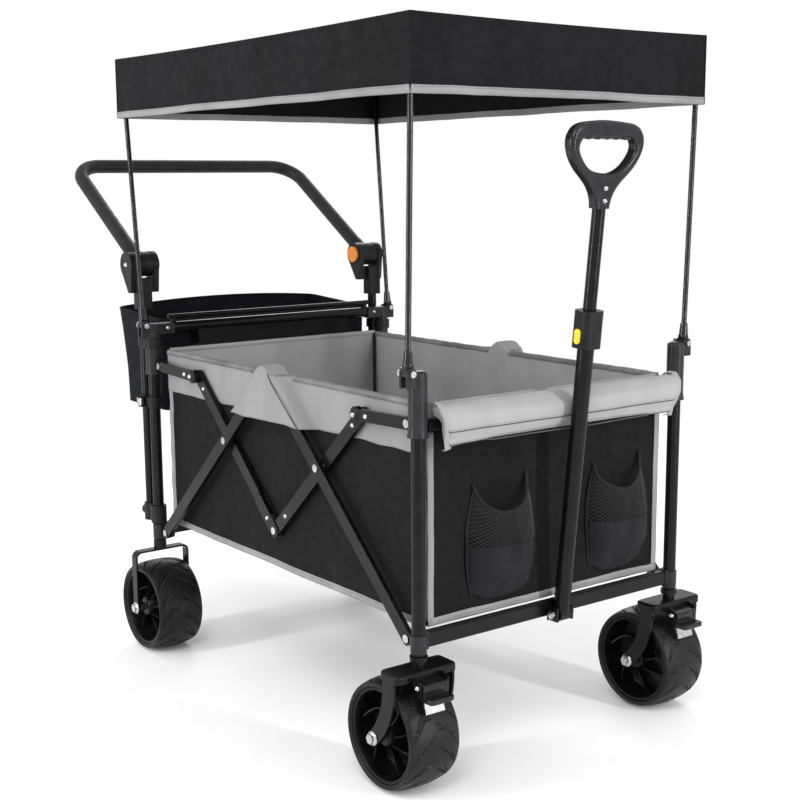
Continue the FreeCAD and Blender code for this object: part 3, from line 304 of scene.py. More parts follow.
def tube(name, path, radius, material, body, sides=10, flat=1.0, hint=Z_AXIS):
    """Round or flattened tube along a path, with closed ends."""
    line = np.array([tuple(point) for point in path], float)
    points = []
    for at, along in zip(line, tangents(line)):
        across = np.cross(along, np.array(hint))
        across /= max(np.linalg.norm(across), 1e-9)
        up = np.cross(across, along)
        for k in range(sides):
            turn = 2 * math.pi * k / sides
            points.append(at + radius * (math.cos(turn) * across * flat + math.sin(turn) * up))
    faces = []
    for j in range(len(line) - 1):
        for k in range(sides):
            after = (k + 1) % sides
            faces.append((j * sides + k, j * sides + after, (j + 1) * sides + after, (j + 1) * sides + k))
    faces.append(tuple(range(sides))[::-1])
    faces.append(tuple((len(line) - 1) * sides + k for k in range(sides)))
    return piece(name, points, faces, material, body)


STITCH = 0.0042
STITCH_GAP = 0.0068


def stitches(name, path, outward, material, body):
    """Row of raised thread stitches along a path on a surface that faces outward."""
    line = resampled(path, STITCH_GAP)
    out = np.array(outward, float)
    points = []
    faces = []
    for at, along in zip(line, tangents(line)):
        ahead = along * STITCH / 2
        across = np.cross(along, out) * 0.0006
        base = len(points)
        for offset in (ahead, -ahead, across, -across, out * 0.0006, out * -0.0004):
            points.append(at + offset)
        for a, b in ((0, 2), (2, 1), (1, 3), (3, 0)):
            faces.append((base + a, base + b, base + 4))
            faces.append((base + b, base + a, base + 5))
    return piece(name, points, faces, material, body)


def lathe_points(profile, centre, axis, segments):
    """Rings of points turned about an axis; profile is (radius, height) pairs."""
    turn = Vector(axis).to_track_quat("Z", "Y").to_matrix()
    points = []
    for radius, height in profile:
        for k in range(segments):
            angle = 2 * math.pi * k / segments
            spot = Vector((radius * math.cos(angle), radius * math.sin(angle), height))
            points.append(Vector(centre) + turn @ spot)
    return points


def ring_faces(rings, segments, base=0):
    faces = []
    for j in range(rings - 1):
        for k in range(segments):
            after = (k + 1) % segments
            low, high = base + j * segments, base + (j + 1) * segments
            faces.append((low + k, low + after, high + after, high + k))
    return faces


SCREW_PROFILE = ((0.0, 0.25), (0.34, 0.25), (0.36, 0.62), (0.55, 0.6), (0.85, 0.36), (1.0, 0.0),
                 (1.0, -0.25))


def screws(name, places, radius, body, material=BRIGHT, profile=SCREW_PROFILE):
    """Domed socket-head screws; places is a list of (centre, outward axis)."""
    segments = 20
    points = []
    faces = []
    for centre, axis in places:
        base = len(points)
        scaled = [(max(r, 0.02) * radius, h * radius) for r, h in profile]
        points += lathe_points(scaled, centre, axis, segments)
        faces += ring_faces(len(profile), segments, base)
        faces.append(tuple(base + k for k in range(segments))[::-1])
        last = base + (len(profile) - 1) * segments
        faces.append(tuple(last + k for k in range(segments)))
    return piece(name, points, faces, material, body)


def both_faces(centre, reach):
    """A place and outward axis on each side of a centre, a reach away across the wagon."""
    return [(centre + Y_AXIS * face * reach, Y_AXIS * face) for face in (-1, 1)]


def smooth_step(value):
    value = min(1.0, max(0.0, value))
    return value * value * (3 - 2 * value)


def wobble(x, y, z, scale, size):
    """Smooth seeded unevenness, the same on every run."""
    return noise.fractal(Vector((x, y, z)) * scale, 1.0, 2.0, 3) * size


def calm(u, v, across, up):
    """1 inside a cloth and 0 at its held edges, over shares of its width and height."""
    return smooth_step(min(u, 1 - u) / across) * smooth_step(min(v, 1 - v) / up)


def middle_of(node):
    """Middle of a CAD node's box."""
    low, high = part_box(node)
    return (low + high) / 2


# ---------------------------------------------------------------- places taken from the frame

side_low, side_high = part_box("side_panels")
floor_low, floor_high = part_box("floor_panel")
front_low, front_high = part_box("front_panel")
rear_low, rear_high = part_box("rear_panel")
bumper_low, bumper_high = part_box("front_bumper")
pocket_low, pocket_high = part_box("front_pockets")
bag_low, bag_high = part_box("rear_basket")
canopy_low, canopy_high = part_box("canopy_cover")
link_low, link_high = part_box("rear_links")
hub_low, hub_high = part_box("push_hubs")
rail_low, rail_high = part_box("front_rails")
rear_bar_low, rear_bar_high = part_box("rear_cross_bars")

MID_X = (side_low.x + side_high.x) / 2
TUB_HALF = (side_high.x - side_low.x) / 2
WALL_Y = floor_high.y
FLOOR_Z = floor_high.z
CROWN = 0.020
RIM_Z = side_high.z - CROWN
FLAP_DROP = 0.082
FLAP_Z = RIM_Z - FLAP_DROP
FLAP_Y = WALL_Y + 0.0062
TENT_OUT = side_high.y - 0.0008 - FLAP_Y
BAR_SLOPE = 1.09


def fold_cloth(made, start=None):
    """Give the cloth its own copy of its mesh data."""
    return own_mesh(made)


# ---------------------------------------------------------------- tub

def tent(x, below):
    """How far the flap stands out over the apex of the side bars, at a depth below the rim."""
    half = 0.026 + below * BAR_SLOPE
    return TENT_OUT * smooth_step(1 - (abs(x) - half) / 0.026)


def crown(x):
    """Rise of the rim over the apex of the side bars."""
    return (CROWN - 0.0030) * smooth_step(1 - (abs(x) - 0.004) / 0.032)


RIM_ROWS = 8
TAPE_GAP = 0.036


def lining(side):
    """Inner wall cloth that turns over the rim and hangs outside as the flap."""
    wall_rows, flap_rows = 26, 16
    rows = wall_rows + RIM_ROWS + flap_rows

    def surface(u, v):
        x = (2 * u - 1) * (TUB_HALF - 0.001)
        row = round(v * rows)
        top = RIM_Z + crown(x)
        if row <= wall_rows:
            share = row / wall_rows
            z = FLOOR_Z + (top - FLOOR_Z) * share
            ends = smooth_step(min(u, 1 - u) / 0.1)
            ends *= smooth_step(share / 0.2) * smooth_step((1 - share) / 0.12)
            soft = abs(wobble(x, side, z, 5.0, 0.012)) + abs(wobble(x, side, z, 17.0, 0.003))
            y = WALL_Y + 0.0006 - ends * soft
        elif row <= wall_rows + RIM_ROWS:
            share = (row - wall_rows) / RIM_ROWS
            out = FLAP_Y + tent(x, 0)
            y = WALL_Y + 0.0006 + (out - WALL_Y - 0.0006) * (1 - math.cos(math.pi * share)) / 2
            z = top + 0.0012 * math.sin(math.pi * share)
        else:
            share = (row - wall_rows - RIM_ROWS) / flap_rows
            below = FLAP_DROP * share
            z = top + (FLAP_Z - top) * share + share * share * wobble(x, side, 0, 9.0, 0.004)
            soft = wobble(x, side, z, 12.0, 0.0016) * smooth_step(share / 0.3)
            sag = 1 - 0.10 * math.sin(math.pi * share) * smooth_step(tent(x, below) / TENT_OUT)
            y = FLAP_Y + tent(x, below) * sag + abs(soft) * 0.8
        return Vector((MID_X + x, side * y, z))

    return surface, rows


def side_cloths():
    """Both tub sides: black outside, grey lining with its flap, tape on the rim and trims."""
    for name, side in SIDES:
        surface, rows = lining(side)
        height = RIM_Z - FLOOR_Z + FLAP_DROP
        inner = grid("side_lining_" + name, surface, (150, rows), (2 * TUB_HALF, height),
                     GREY_CLOTH, "rear_frame")
        # The flap's faces take the darker copy of the lining cloth: painted shade
        inner.data.materials.append(SHADED_FLAP_CLOTH)
        for polygon in inner.data.polygons:
            if abs(polygon.center.y) > WALL_Y + 0.003:
                polygon.material_index = 1
        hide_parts("side_panels")
        fold_cloth(inner)

        def outer(u, v):
            x = (2 * u - 1) * (TUB_HALF - 0.001)
            z = FLOOR_Z - 0.006 + (RIM_Z - 0.004 - FLOOR_Z) * v
            bulge = 0.0022 * math.sin(math.pi * u)
            bulge += wobble(x, side, z, 6.0, 0.0022) + wobble(x, side, z, 21.0, 0.0007)
            bulge = calm(u, v, 0.08, 0.1) * max(-0.001, min(0.0034, bulge))
            return Vector((MID_X + x, side * (WALL_Y + 0.0032 + bulge), z))

        wall = grid("side_cloth_" + name, outer, (110, 44), (2 * TUB_HALF, RIM_Z - FLOOR_Z),
                    BLACK_CLOTH, "rear_frame")
        fold_cloth(wall)
        rim_tape(name, side)
        side_trims(name, side)


def rim_tape(name, side):
    """Ruffled tape sewn over the rim edge, in two runs that leave the tent free."""
    columns = 100
    run = 0.5 - TAPE_GAP

    def tape(u, v):
        x = (2 * u - 1) * (TUB_HALF - 0.001)
        out = FLAP_Y + tent(x, 0)
        turn = math.pi * (1 - v)
        middle = (WALL_Y + out) / 2
        half = (out - WALL_Y) / 2 + 0.0022
        ruffle = 0.0009 * math.sin(u * 2 * math.pi * 96) * math.sin(v * math.pi)
        ruffle += wobble(x, side, v, 60.0, 0.0012)
        z = RIM_Z + crown(x) + 0.0024 + ruffle - 0.0085 * (1 - math.sin(turn)) ** 1.6
        return Vector((MID_X + x, side * (middle + half * math.cos(turn)), z))

    for end, start in (("rear", 0.0), ("front", 0.5 + TAPE_GAP)):
        fold_cloth(grid(f"rim_tape_{end}_{name}", lambda u, v: tape(start + u * run, v), (90, 8),
                        (2 * TUB_HALF * run, 0.03), RIM_TAPE, "rear_frame", thickness=THIN_CLOTH))
        over = Vector((0, side * 0.0008, 0))
        seam = [tape(start + run * k / columns, 0.94) + over for k in range(columns + 1)]
        fold_cloth(stitches(f"rim_stitches_{end}_{name}", seam, (0, side, 0), THREAD, "rear_frame"))
    tent_seam(name, side)


def tent_seam(name, side):
    """Sewn crease that runs from the top of the tent down its front edge to the flap's hem."""
    path = []
    for k in range(31):
        share = k / 30
        below = FLAP_DROP * share
        x = 0.022 + share * (FLAP_DROP * BAR_SLOPE + 0.006)
        z = RIM_Z + crown(x) - (crown(x) + FLAP_DROP) * share
        path.append(Vector((MID_X + x, side * (FLAP_Y + tent(x, below) + 0.0012), z)))
    fold_cloth(tube("tent_seam_" + name, path, 0.0012, THREAD, "rear_frame", 6, 1, X_AXIS))


def side_trims(name, side):
    """Pale tapes down both ends and along the bottom of a side."""
    width = 0.016
    for end, sign in (("rear", -1), ("front", 1)):
        def upright(u, v):
            z = FLOOR_Z - 0.004 + (RIM_Z - 0.016 - FLOOR_Z) * v
            x = sign * (TUB_HALF + 0.002 - width * (1 - u)) + wobble(v * 3, side, sign, 2.0, 0.0025)
            y = WALL_Y + 0.0062 + 0.0006 * math.sin(v * 31) - 0.0035 * (2 * abs(u - 0.5)) ** 3
            return Vector((MID_X + x, side * y, z))
        fold_cloth(grid(f"side_trim_{end}_{name}", upright, (6, 60), (width, RIM_Z - FLOOR_Z),
                        BINDING, "rear_frame", thickness=TRIM))

    def lower(u, v):
        x = (2 * u - 1) * TUB_HALF
        turn = math.pi * (v - 0.5)
        y = WALL_Y + 0.0005 + 0.0048 * math.cos(turn)
        z = FLOOR_Z - 0.007 + 0.0075 * math.sin(turn) + wobble(x, side, 4, 7.0, 0.002)
        return Vector((MID_X + x, side * y, z))

    fold_cloth(grid("bottom_trim_" + name, lower, (120, 8), (2 * TUB_HALF, 0.02),
                    BINDING, "rear_frame", thickness=TRIM))
    seam = [lower(k / 160, 0.62) + Vector((0, side * 0.0006, 0)) for k in range(161)]
    fold_cloth(stitches("bottom_stitches_" + name, seam, (0, side, 0), THREAD, "rear_frame"))


def floor_cloth():
    """Floor mat with quilted channels on top and a slack black skin below."""
    channels = 6

    def mat(u, v):
        x = (2 * u - 1) * (TUB_HALF - 0.002)
        y = (2 * v - 1) * (WALL_Y - 0.001)
        puff = abs(math.sin(math.pi * channels * u)) ** 0.35 * abs(math.sin(math.pi * 3 * v)) ** 0.25
        return Vector((MID_X + x, y, FLOOR_Z - 0.0035 + 0.003 * puff + wobble(x, y, 2, 8.0, 0.001)))

    top = grid("floor_mat", mat, (144, 84), (2 * TUB_HALF, 2 * WALL_Y), GREY_CLOTH, "rear_frame",
               thickness=THIN_CLOTH)
    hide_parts("floor_panel")
    fold_cloth(top)

    def skin(u, v):
        x = (2 * u - 1) * (TUB_HALF - 0.001)
        y = (2 * v - 1) * WALL_Y
        slack = math.sin(math.pi * v) ** 0.8 * math.sin(math.pi * min(1, max(0, u))) ** 0.5
        z = floor_low.z - 0.0005 - 0.0075 * slack + wobble(x, y, 5, 6.0, 0.002) * slack
        return Vector((MID_X + x, y, z))

    fold_cloth(grid("floor_skin", skin, (90, 60), (2 * TUB_HALF, 2 * WALL_Y), BLACK_CLOTH, "rear_frame"))


SLACK_END = 0.072


def end_walls():
    """Front and rear cloth walls: black outside, grey lining inside, pale tapes at the edges."""
    front_wall()
    end_lining("front_lining", front_low.x, -1, bumper_high.z - 0.006, 3, "front_frame")
    end_lining("rear_lining", rear_high.x, 1, RIM_Z + 0.004, 7, "rear_frame")
    rear_wall()
    for name, side in SIDES:
        front_band(name, side)
        corner_seam(name, side)
    front_foot_band()
    rear_rim_tape()


def front_wall():
    """Black front cloth, held at its edges."""
    half = front_high.y
    height = front_high.z - front_low.z

    def skin(u, v):
        y = (2 * u - 1) * half
        z = front_low.z + height * v
        ripple = wobble(1, y, z, 6.0, 0.003) + wobble(1, y, z, 23.0, 0.0008)
        ripple = calm(u, v, 0.08, 0.08) * max(-0.0015, min(0.0016, ripple))
        return Vector((front_high.x - 0.0007 + ripple, y, z))

    made = grid("front_cloth", skin, (70, 44), (2 * half, height), BLACK_CLOTH, "front_frame")
    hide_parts("front_panel")


def end_lining(name, face_x, inward, top, seed, body):
    """Slack grey cloth inside an end wall; inward points to the middle of the tub."""
    def inside(u, v):
        y = (2 * u - 1) * (WALL_Y - 0.001)
        z = FLOOR_Z + (top - FLOOR_Z) * v
        slack = calm(u, v, 0.1, 0.1) * abs(wobble(seed, y, z, 6.0, 0.006))
        return Vector((face_x + inward * (slack - 0.0012), y, z))

    grid(name, inside, (60, 44), (2 * WALL_Y, RIM_Z - FLOOR_Z), GREY_CLOTH, body)


def rear_wall():
    """Black rear cloth whose narrower free end leans over towards the rear crossbar."""
    bar_x = (rear_bar_low.x + rear_bar_high.x) / 2
    bend = 0.82
    bend_z = RIM_Z + 0.006

    def skin(u, v):
        reach = WALL_Y - SLACK_END * smooth_step((v - bend + 0.03) / 0.06)
        y = (2 * u - 1) * reach
        share = max(0.0, (v - bend) / (1 - bend))
        z = floor_low.z + (bend_z - floor_low.z) * min(1.0, v / bend)
        z += (rear_high.z + 0.006 - bend_z) * share
        x = rear_low.x + 0.0008 + (bar_x + 0.009 - rear_low.x) * smooth_step(share) * 0.6
        ripple = smooth_step(min(v, 1 - v) / 0.06) * (wobble(9, y, z, 7.0, 0.004))
        curl = 0.004 * smooth_step((abs(2 * u - 1) - 0.93) / 0.07) * math.sin(14 * v)
        return Vector((x - abs(ripple) - abs(curl), y, z))

    height = rear_high.z - floor_low.z
    made = grid("rear_cloth", skin, (70, 60), (2 * WALL_Y, height), BLACK_CLOTH, "rear_frame")
    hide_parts("rear_panel")


def front_band(name, side):
    """Pale tape down one edge of the front wall."""
    def band(u, v):
        x = front_high.x + 0.0012 + 0.0012 * math.sin(math.pi * u) + wobble(v, side, 2, 4.0, 0.001)
        y = side * (front_high.y - 0.012 + 0.012 * u)
        return Vector((x, y, front_low.z + 0.010 + (front_high.z - 0.012 - front_low.z) * v))

    grid("front_band_" + name, band, (6, 60), (0.013, front_high.z - front_low.z), BINDING, "front_frame",
         thickness=TRIM)


def front_foot_band():
    """Pale tape along the bottom of the front wall, with its stitching."""
    half = front_high.y

    def band(u, v):
        y = (2 * u - 1) * half
        z = front_low.z + 0.001 + 0.013 * v + wobble(y, 3, 1, 9.0, 0.002)
        return Vector((front_high.x + 0.0014 + 0.0012 * math.sin(math.pi * v), y, z))

    grid("front_foot_band", band, (70, 6), (2 * half, 0.013), BINDING, "front_frame", thickness=TRIM)
    seam = [band(k / 80, 0.5) + Vector((0.0009, 0, 0)) for k in range(81)]
    stitches("front_foot_stitches", seam, (1, 0, 0), THREAD, "front_frame")


def rear_rim_tape():
    """Grey tape over the top edge of the rear lining."""
    def tape(u, v):
        y = (2 * u - 1) * (WALL_Y - 0.001)
        turn = math.pi * (v - 0.5)
        x = rear_high.x - 0.0025 + 0.0035 * math.cos(turn) + wobble(y, 0, v, 40.0, 0.0008)
        return Vector((x, y, RIM_Z + 0.0005 + 0.005 * math.sin(turn)))

    grid("rear_rim_tape", tape, (90, 6), (2 * WALL_Y, 0.012), GREY_CLOTH, "rear_frame", thickness=THIN_CLOTH)


def corner_seam(name, side):
    """Dark piped seams where the lining's side and end walls meet."""
    for end, x, facing in (("front", front_low.x - 0.001, -1), ("rear", rear_high.x + 0.0015, 1)):
        body = end + "_frame"
        path = []
        for k in range(41):
            share = k / 40
            z = FLOOR_Z + (RIM_Z - FLOOR_Z) * share
            path.append(Vector((x + wobble(share * 2, side, 1, 3.0, 0.0015), side * (WALL_Y - 0.0035), z)))
        tube(f"corner_seam_{end}_{name}", path, 0.0021, DARK_THREAD, body, 8, hint=X_AXIS)
        seam = [point + Vector((0, -side * 0.0045, 0)) for point in path]
        stitches(f"corner_stitches_{end}_{name}", seam, (facing, 0, 0), THREAD, body)


# ---------------------------------------------------------------- bumper roll

BUMPER_CAP = 0.006


def bumper_outline():
    """Cross-section of the roll: over the rail, bulging forwards, with a flap below."""
    rail_x = (rail_low.x + rail_high.x) / 2
    rail_z = rail_high.z - 0.010
    inset = 0.0045
    back, front = bumper_low.x + inset, bumper_high.x - inset
    top, low = bumper_high.z - inset, bumper_low.z
    outline = [(back, top - 0.026), (back + 0.002, top - 0.008), (back + 0.012, top), (front - 0.016, top)]
    outline += [(front - 0.003, top - 0.012), (front, top - 0.030), (front - 0.006, top - 0.048)]
    outline += [(front - 0.010, low + 0.018), (front - 0.0115, low + 0.004), (front - 0.019, low + 0.003)]
    outline.append((front - 0.022, low + 0.022))
    for turn in (20, 55, 90, 125):
        angle = math.radians(turn)
        outline.append((rail_x + 0.0145 * math.cos(angle), rail_z + 0.0145 * math.sin(angle)))
    return outline


def end_inset(z):
    """The roll's ends slant: its lower edge is shorter than its top."""
    return 0.016 * (1 - (z - bumper_low.z) / (bumper_high.z - bumper_low.z))


def bumper():
    """Padded roll over the front rail, swelled by a cloth simulation."""
    outline = bumper_outline()
    count = len(outline)
    half = bumper_high.y - 0.002
    stations = 24
    points = []
    for k in range(stations + 1):
        points += [Vector((x, (2 * k / stations - 1) * (half - end_inset(z)), z)) for x, z in outline]
    faces = []
    for k in range(stations):
        for i in range(count):
            after = (i + 1) % count
            faces.append((k * count + i, k * count + after, (k + 1) * count + after, (k + 1) * count + i))
    faces.append(tuple(range(count))[::-1])
    faces.append(tuple(stations * count + i for i in range(count)))
    made = piece("bumper_roll", points, faces, PALE_CLOTH, "front_frame")
    swell(made, 0.005, 4.0, BUMPER_CAP)
    soften = made.modifiers.new("soften", "SUBSURF")
    soften.levels = soften.render_levels = 1
    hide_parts("front_bumper")
    bumper_seams(made, half)


def swell(made, voxel, pressure, cap):
    """Fill a closed skin with a little pressure, and limit how far it moves."""
    remesh = made.modifiers.new("remesh", "REMESH")
    remesh.mode = "VOXEL"
    remesh.voxel_size = voxel
    bpy.context.view_layer.update()
    graph = bpy.context.evaluated_depsgraph_get()
    fine = bpy.data.meshes.new_from_object(made.evaluated_get(graph))
    made.modifiers.remove(remesh)
    made.data = fine
    before = np.array([vertex.co for vertex in fine.vertices])
    cloth = made.modifiers.new("cloth", "CLOTH")
    cloth.settings.use_pressure = True
    cloth.settings.uniform_pressure_force = pressure
    cloth.settings.effector_weights.gravity = 0.0
    cloth.settings.quality = 4
    for number in range(1, 21):
        bpy.context.scene.frame_set(number)
    graph = bpy.context.evaluated_depsgraph_get()
    swelled = made.evaluated_get(graph).data
    after = np.array([vertex.co for vertex in swelled.vertices])
    made.modifiers.remove(cloth)
    bpy.context.scene.frame_set(1)
    step = after - before
    length = np.linalg.norm(step, axis=1)[:, None]
    step *= np.minimum(1.0, cap / np.maximum(length, 1e-9))
    fine.vertices.foreach_set("co", (before + step).ravel())
    fine.polygons.foreach_set("use_smooth", [True] * len(fine.polygons))
    fine.update()


def front_of(tree, y, z):
    """Point where the roll's skin is met from in front at a place across and up."""
    hit, _, _, _ = tree.ray_cast(Vector((bumper_high.x + 0.1, y, z)), -X_AXIS)
    return hit or Vector((bumper_high.x - 0.008, y, z))


def bumper_seams(roll, half):
    """Sewn lines and end tapes of the roll."""
    tree = BVHTree.FromObject(roll, bpy.context.evaluated_depsgraph_get())
    for name, drop in (("upper", 0.047), ("lower", 0.069)):
        path = []
        for k in range(81):
            z = bumper_high.z - drop
            y = (2 * k / 80 - 1) * (half - 0.006 - end_inset(z))
            path.append(front_of(tree, y, z + wobble(y, 1, drop, 6.0, 0.0015)) + X_AXIS * 0.0002)
        tube("bumper_seam_" + name, path, 0.0011, THREAD, "front_frame", 6)
        row = [front_of(tree, point.y, point.z + 0.0034) for point in path]
        stitches("bumper_stitches_" + name, row, (1, 0, 0), THREAD, "front_frame")
    outline = [Vector((x, 0, z)) for x, z in bumper_outline()[:10]]
    centre = sum(outline, Vector()) / len(outline)
    ring = resampled([centre + (point - centre) * 1.07 for point in outline], 0.004)
    for name, side in SIDES:
        def tape(u, v):
            at = ring[min(len(ring) - 1, round(v * (len(ring) - 1)))]
            flare = (Vector(at) - centre) * 0.05 * u * u
            y = half + 0.001 - end_inset(at[2]) - 0.012 * (1 - u)
            return Vector((at[0] + flare.x, side * y, at[2] + flare.z))
        grid("bumper_end_tape_" + name, tape, (5, len(ring) - 1), (0.012, 0.2), PALE_CLOTH, "front_frame")
        seam = [tape(0.25, k / 40) + (tape(0.25, k / 40) - centre).normalized() * 0.0008 for k in range(41)]
        tube("bumper_end_seam_" + name, seam, 0.0006, THREAD, "front_frame", 6, 1, Y_AXIS)


# ---------------------------------------------------------------- pockets

POCKET_SPLIT = 0.46
POCKET_SHIFT = 0.022
POCKET_INNER = 0.072
MOUTH_DIP = 0.052


def pocket_shape(side):
    """Pouch surface over (u across, z up) and the height of its mouth over u."""
    low, high = pocket_low.z, pocket_high.z
    back = front_high.x + 0.0012
    depth = pocket_high.x - back - 0.002
    half = (pocket_high.y - POCKET_INNER) / 2
    centre = side * (POCKET_INNER + half) + POCKET_SHIFT

    def mouth(u):
        dip = math.sin(math.pi * u ** 0.95) ** 0.6
        return high - 0.006 + 0.008 * (u - 0.5) - MOUTH_DIP * dip

    def shape(u, z):
        share = min(1.0, max(0.0, (z - low) / (high - low)))
        width = 0.90 + 0.24 * math.sin(math.pi * min(1.0, share / 0.9)) ** 0.8
        belly = 0.30 + 0.70 * smooth_step(share / 0.28)
        belly *= 1 - 0.42 * smooth_step((share - 0.45) / 0.5)
        bow = max(0.0, 1 - abs(2 * u - 1) ** 2.6) ** 0.8
        crease = wobble(u * 2, z * 9, side, 2.2, 0.005) * bow
        x = back + depth * bow * belly + crease
        y = centre + (2 * u - 1) * half * width + wobble(z * 6, side, u, 2.0, 0.003)
        return Vector((max(back - 0.0005, min(pocket_high.x + 0.004, x)), y, z))

    return shape, mouth


def pockets():
    """Two pouches: fabric below, diamond netting above, with a sagging elastic mouth."""
    low, high = pocket_low.z, pocket_high.z
    split = low + (high - low) * POCKET_SPLIT
    back = front_high.x + 0.0012
    for name, side in SIDES:
        shape, mouth = pocket_shape(side)

        def cloth(u, v):
            at = shape(u, low + (split - low) * v)
            tuck = smooth_step(1 - v / 0.16)
            at.x = back + (at.x - back) * (1 - 0.7 * tuck)
            at.z += 0.014 * tuck * abs(2 * u - 1) ** 3
            return at

        size = ((pocket_high.y - POCKET_INNER) * 1.3, split - low)
        lower = grid("pocket_cloth_" + name, cloth, (48, 26), size, POCKET_CLOTH, "front_frame",
                     thickness=0.0014)
        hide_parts("front_pockets")
        netting(name, shape, mouth, split)
        hem = [shape(k / 50, split) + Vector((0.0006, 0, 0)) for k in range(51)]
        pocket_cord("pocket_hem_" + name, hem, 0.0013)
        rim = [shape(k / 50, mouth(k / 50)) for k in range(51)]
        pocket_cord("pocket_elastic_" + name, rim, 0.0024)
        for edge, at in (("a", 0.004), ("b", 0.996)):
            line = [shape(at, low + 0.012 + (mouth(at) - low - 0.012) * k / 30) for k in range(31)]
            pocket_cord(f"pocket_edge_{edge}_{name}", line, 0.0016)


def pocket_cord(name, path, radius):
    return tube(name, path, radius, POCKET_CLOTH, "front_frame", 8, 1.5, X_AXIS)


def netting(name, shape, mouth, bottom):
    """Diamond netting between the pocket's cloth and its mouth."""
    columns, rows = 20, 12
    knots = {}
    points = []
    faces = []

    def knot(i, j):
        if (i, j) not in knots:
            u = i / (2 * columns)
            z = bottom + (mouth(u) - bottom) * j / (2 * rows)
            knots[i, j] = len(points)
            points.append(shape(u, z))
        return knots[i, j]

    for j in range(1, 2 * rows):
        for i in range(1, 2 * columns):
            if (i + j) % 2:
                faces.append((knot(i - 1, j), knot(i, j - 1), knot(i + 1, j), knot(i, j + 1)))
    made = piece("pocket_net_" + name, points, faces, NETTING, "front_frame")
    wires = made.modifiers.new("wires", "WIREFRAME")
    wires.thickness = 0.0014
    wires.use_even_offset = False


# ---------------------------------------------------------------- rear bag

BAG_CORNER = 0.016
BAG_CLOTH = 0.0022

def rounded_outline(at, start, runs, radius):
    """Point, as x + yj, at a distance along straight runs that quarter arcs join to the left."""
    place, ahead = complex(start), 1j
    for run in runs[:-1]:
        if at <= run:
            break
        centre = place + ahead * (run + 1j * radius)
        turn = min((at - run) / radius, math.pi / 2)
        place = centre - ahead * 1j * cmath.rect(radius, turn)
        if turn < math.pi / 2:
            return place
        at -= run + radius * turn
        ahead *= 1j
    return place + ahead * at


def bag_outline(share, u):
    """Point on the bag's rounded rectangle at a height share, u once round from the front middle."""
    back_x = bag_low.x + (1 - share) * 0.034 + 0.002
    length, width = bag_high.x - 0.001 - back_x, 2 * bag_high.y - 0.002
    side, end = length - 2 * BAG_CORNER, width - 2 * BAG_CORNER
    runs = (end / 2, side, end, side, end / 2)
    around = sum(runs) + 2 * math.pi * BAG_CORNER
    at = rounded_outline(u * around, bag_high.x - 0.001, runs, BAG_CORNER)
    return at.real, at.imag


def bag_wall(u, v):
    """Point on the slack wall of the bag."""
    rear, front = bag_low.x, bag_high.x
    x, y = bag_outline(v, u)
    depth = (front - x) / (front - rear)
    rise = 0.012 * depth * (1 - (y / bag_high.y) ** 2) * v
    z = bag_low.z + 0.004 + (bag_high.z - 0.016 + 0.013 * depth - bag_low.z) * v + rise
    settled = smooth_step(v / 0.15) * smooth_step((1 - v) / 0.2)
    soft = wobble(x, y, z, 7.0, 0.006) * settled
    pull = 1 - 0.010 * math.sin(math.pi * v) * settled
    x = front - 0.001 - (front - 0.001 - x) * (1 + soft * 0.6)
    return Vector((max(rear - 0.004, min(front, x)), y * pull, z))


def bag_bottom(u, v):
    """Point on the sagging bottom of the bag, v from its middle to its edge."""
    x, y = bag_outline(0.0, u)
    middle = (bag_high.x + bag_low.x) / 2
    x, y = middle + (x - middle) * v, y * v
    sag = 0.006 * (1 - v * v) - wobble(x, y, 0, 9.0, 0.003) * (1 - v)
    return Vector((x, y, bag_low.z + 0.004 - sag))


def rear_bag():
    """Slack open bag behind the rear crossbar, with piped edges, corner seams and rivets."""
    half = bag_high.y
    loop = 132
    perimeter = 2 * (2 * half + bag_high.x - bag_low.x)
    shell = grid("bag_shell", bag_wall, (loop, 30), (perimeter, bag_high.z - bag_low.z), NAVY_CLOTH,
                 "rear_frame", closed=True, thickness=BAG_CLOTH)
    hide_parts("rear_basket")
    grid("bag_bottom", bag_bottom, (loop, 14), (perimeter, half), NAVY_CLOTH, "rear_frame", closed=True,
         thickness=BAG_CLOTH)
    for name, share, radius in (("bag_piping", 1.0, 0.0026), ("bag_base_piping", 0.0, 0.0022)):
        edge = [bag_wall(k / loop, share) for k in range(loop + 1)]
        tube(name, edge, radius, BLACK_CLOTH, "rear_frame", 8)
    for name, side in SIDES:
        for edge, u in (("front", 0.245), ("rear", 0.418)):
            share = u if side > 0 else 1 - u
            seam = [bag_wall(share, k / 30) for k in range(31)]
            tube(f"bag_seam_{edge}_{name}", seam, 0.0013, BLACK_CLOTH, "rear_frame", 6, 1, X_AXIS)
    places = []
    for x in (bag_low.x + 0.055, bag_high.x - 0.02):
        places += both_faces(Vector((x, 0, bag_low.z + 0.016)), half - 0.0005)
    screws("bag_rivets", places, 0.0042, "rear_frame", FRAME_PAINT)


# ---------------------------------------------------------------- canopy

HEM = 0.0125
LIP = 0.0036
EDGE_ROOM = 0.001
CANOPY_SIZE = canopy_high - canopy_low
CANOPY_MIDDLE = (canopy_low + canopy_high) / 2


def spaced(count, half):
    """Even places across the top, with a narrow lip at both edges."""
    return [-half, *np.linspace(-half + LIP, half - LIP, count - 1), half]


def top_height(x, y):
    """Height of the top, which sags between its rods, at a place from its middle."""
    u, v = x / (CANOPY_SIZE.x / 2), y / (CANOPY_SIZE.y / 2)
    sag = 0.010 * (1 - u * u) * (1 - v * v)
    sag += 0.0035 * (1 - u ** 2) * v ** 4 + 0.0025 * (1 - v ** 2) * u ** 4
    fold = wobble(x, y, 8, 4.0, 0.0016) * (1 - u ** 6) * (1 - v ** 6)
    lip = 0.0008 if max(abs(u), abs(v)) > 1 - LIP / 2 else 0.0
    return canopy_high.z - 0.0010 - sag + fold - lip


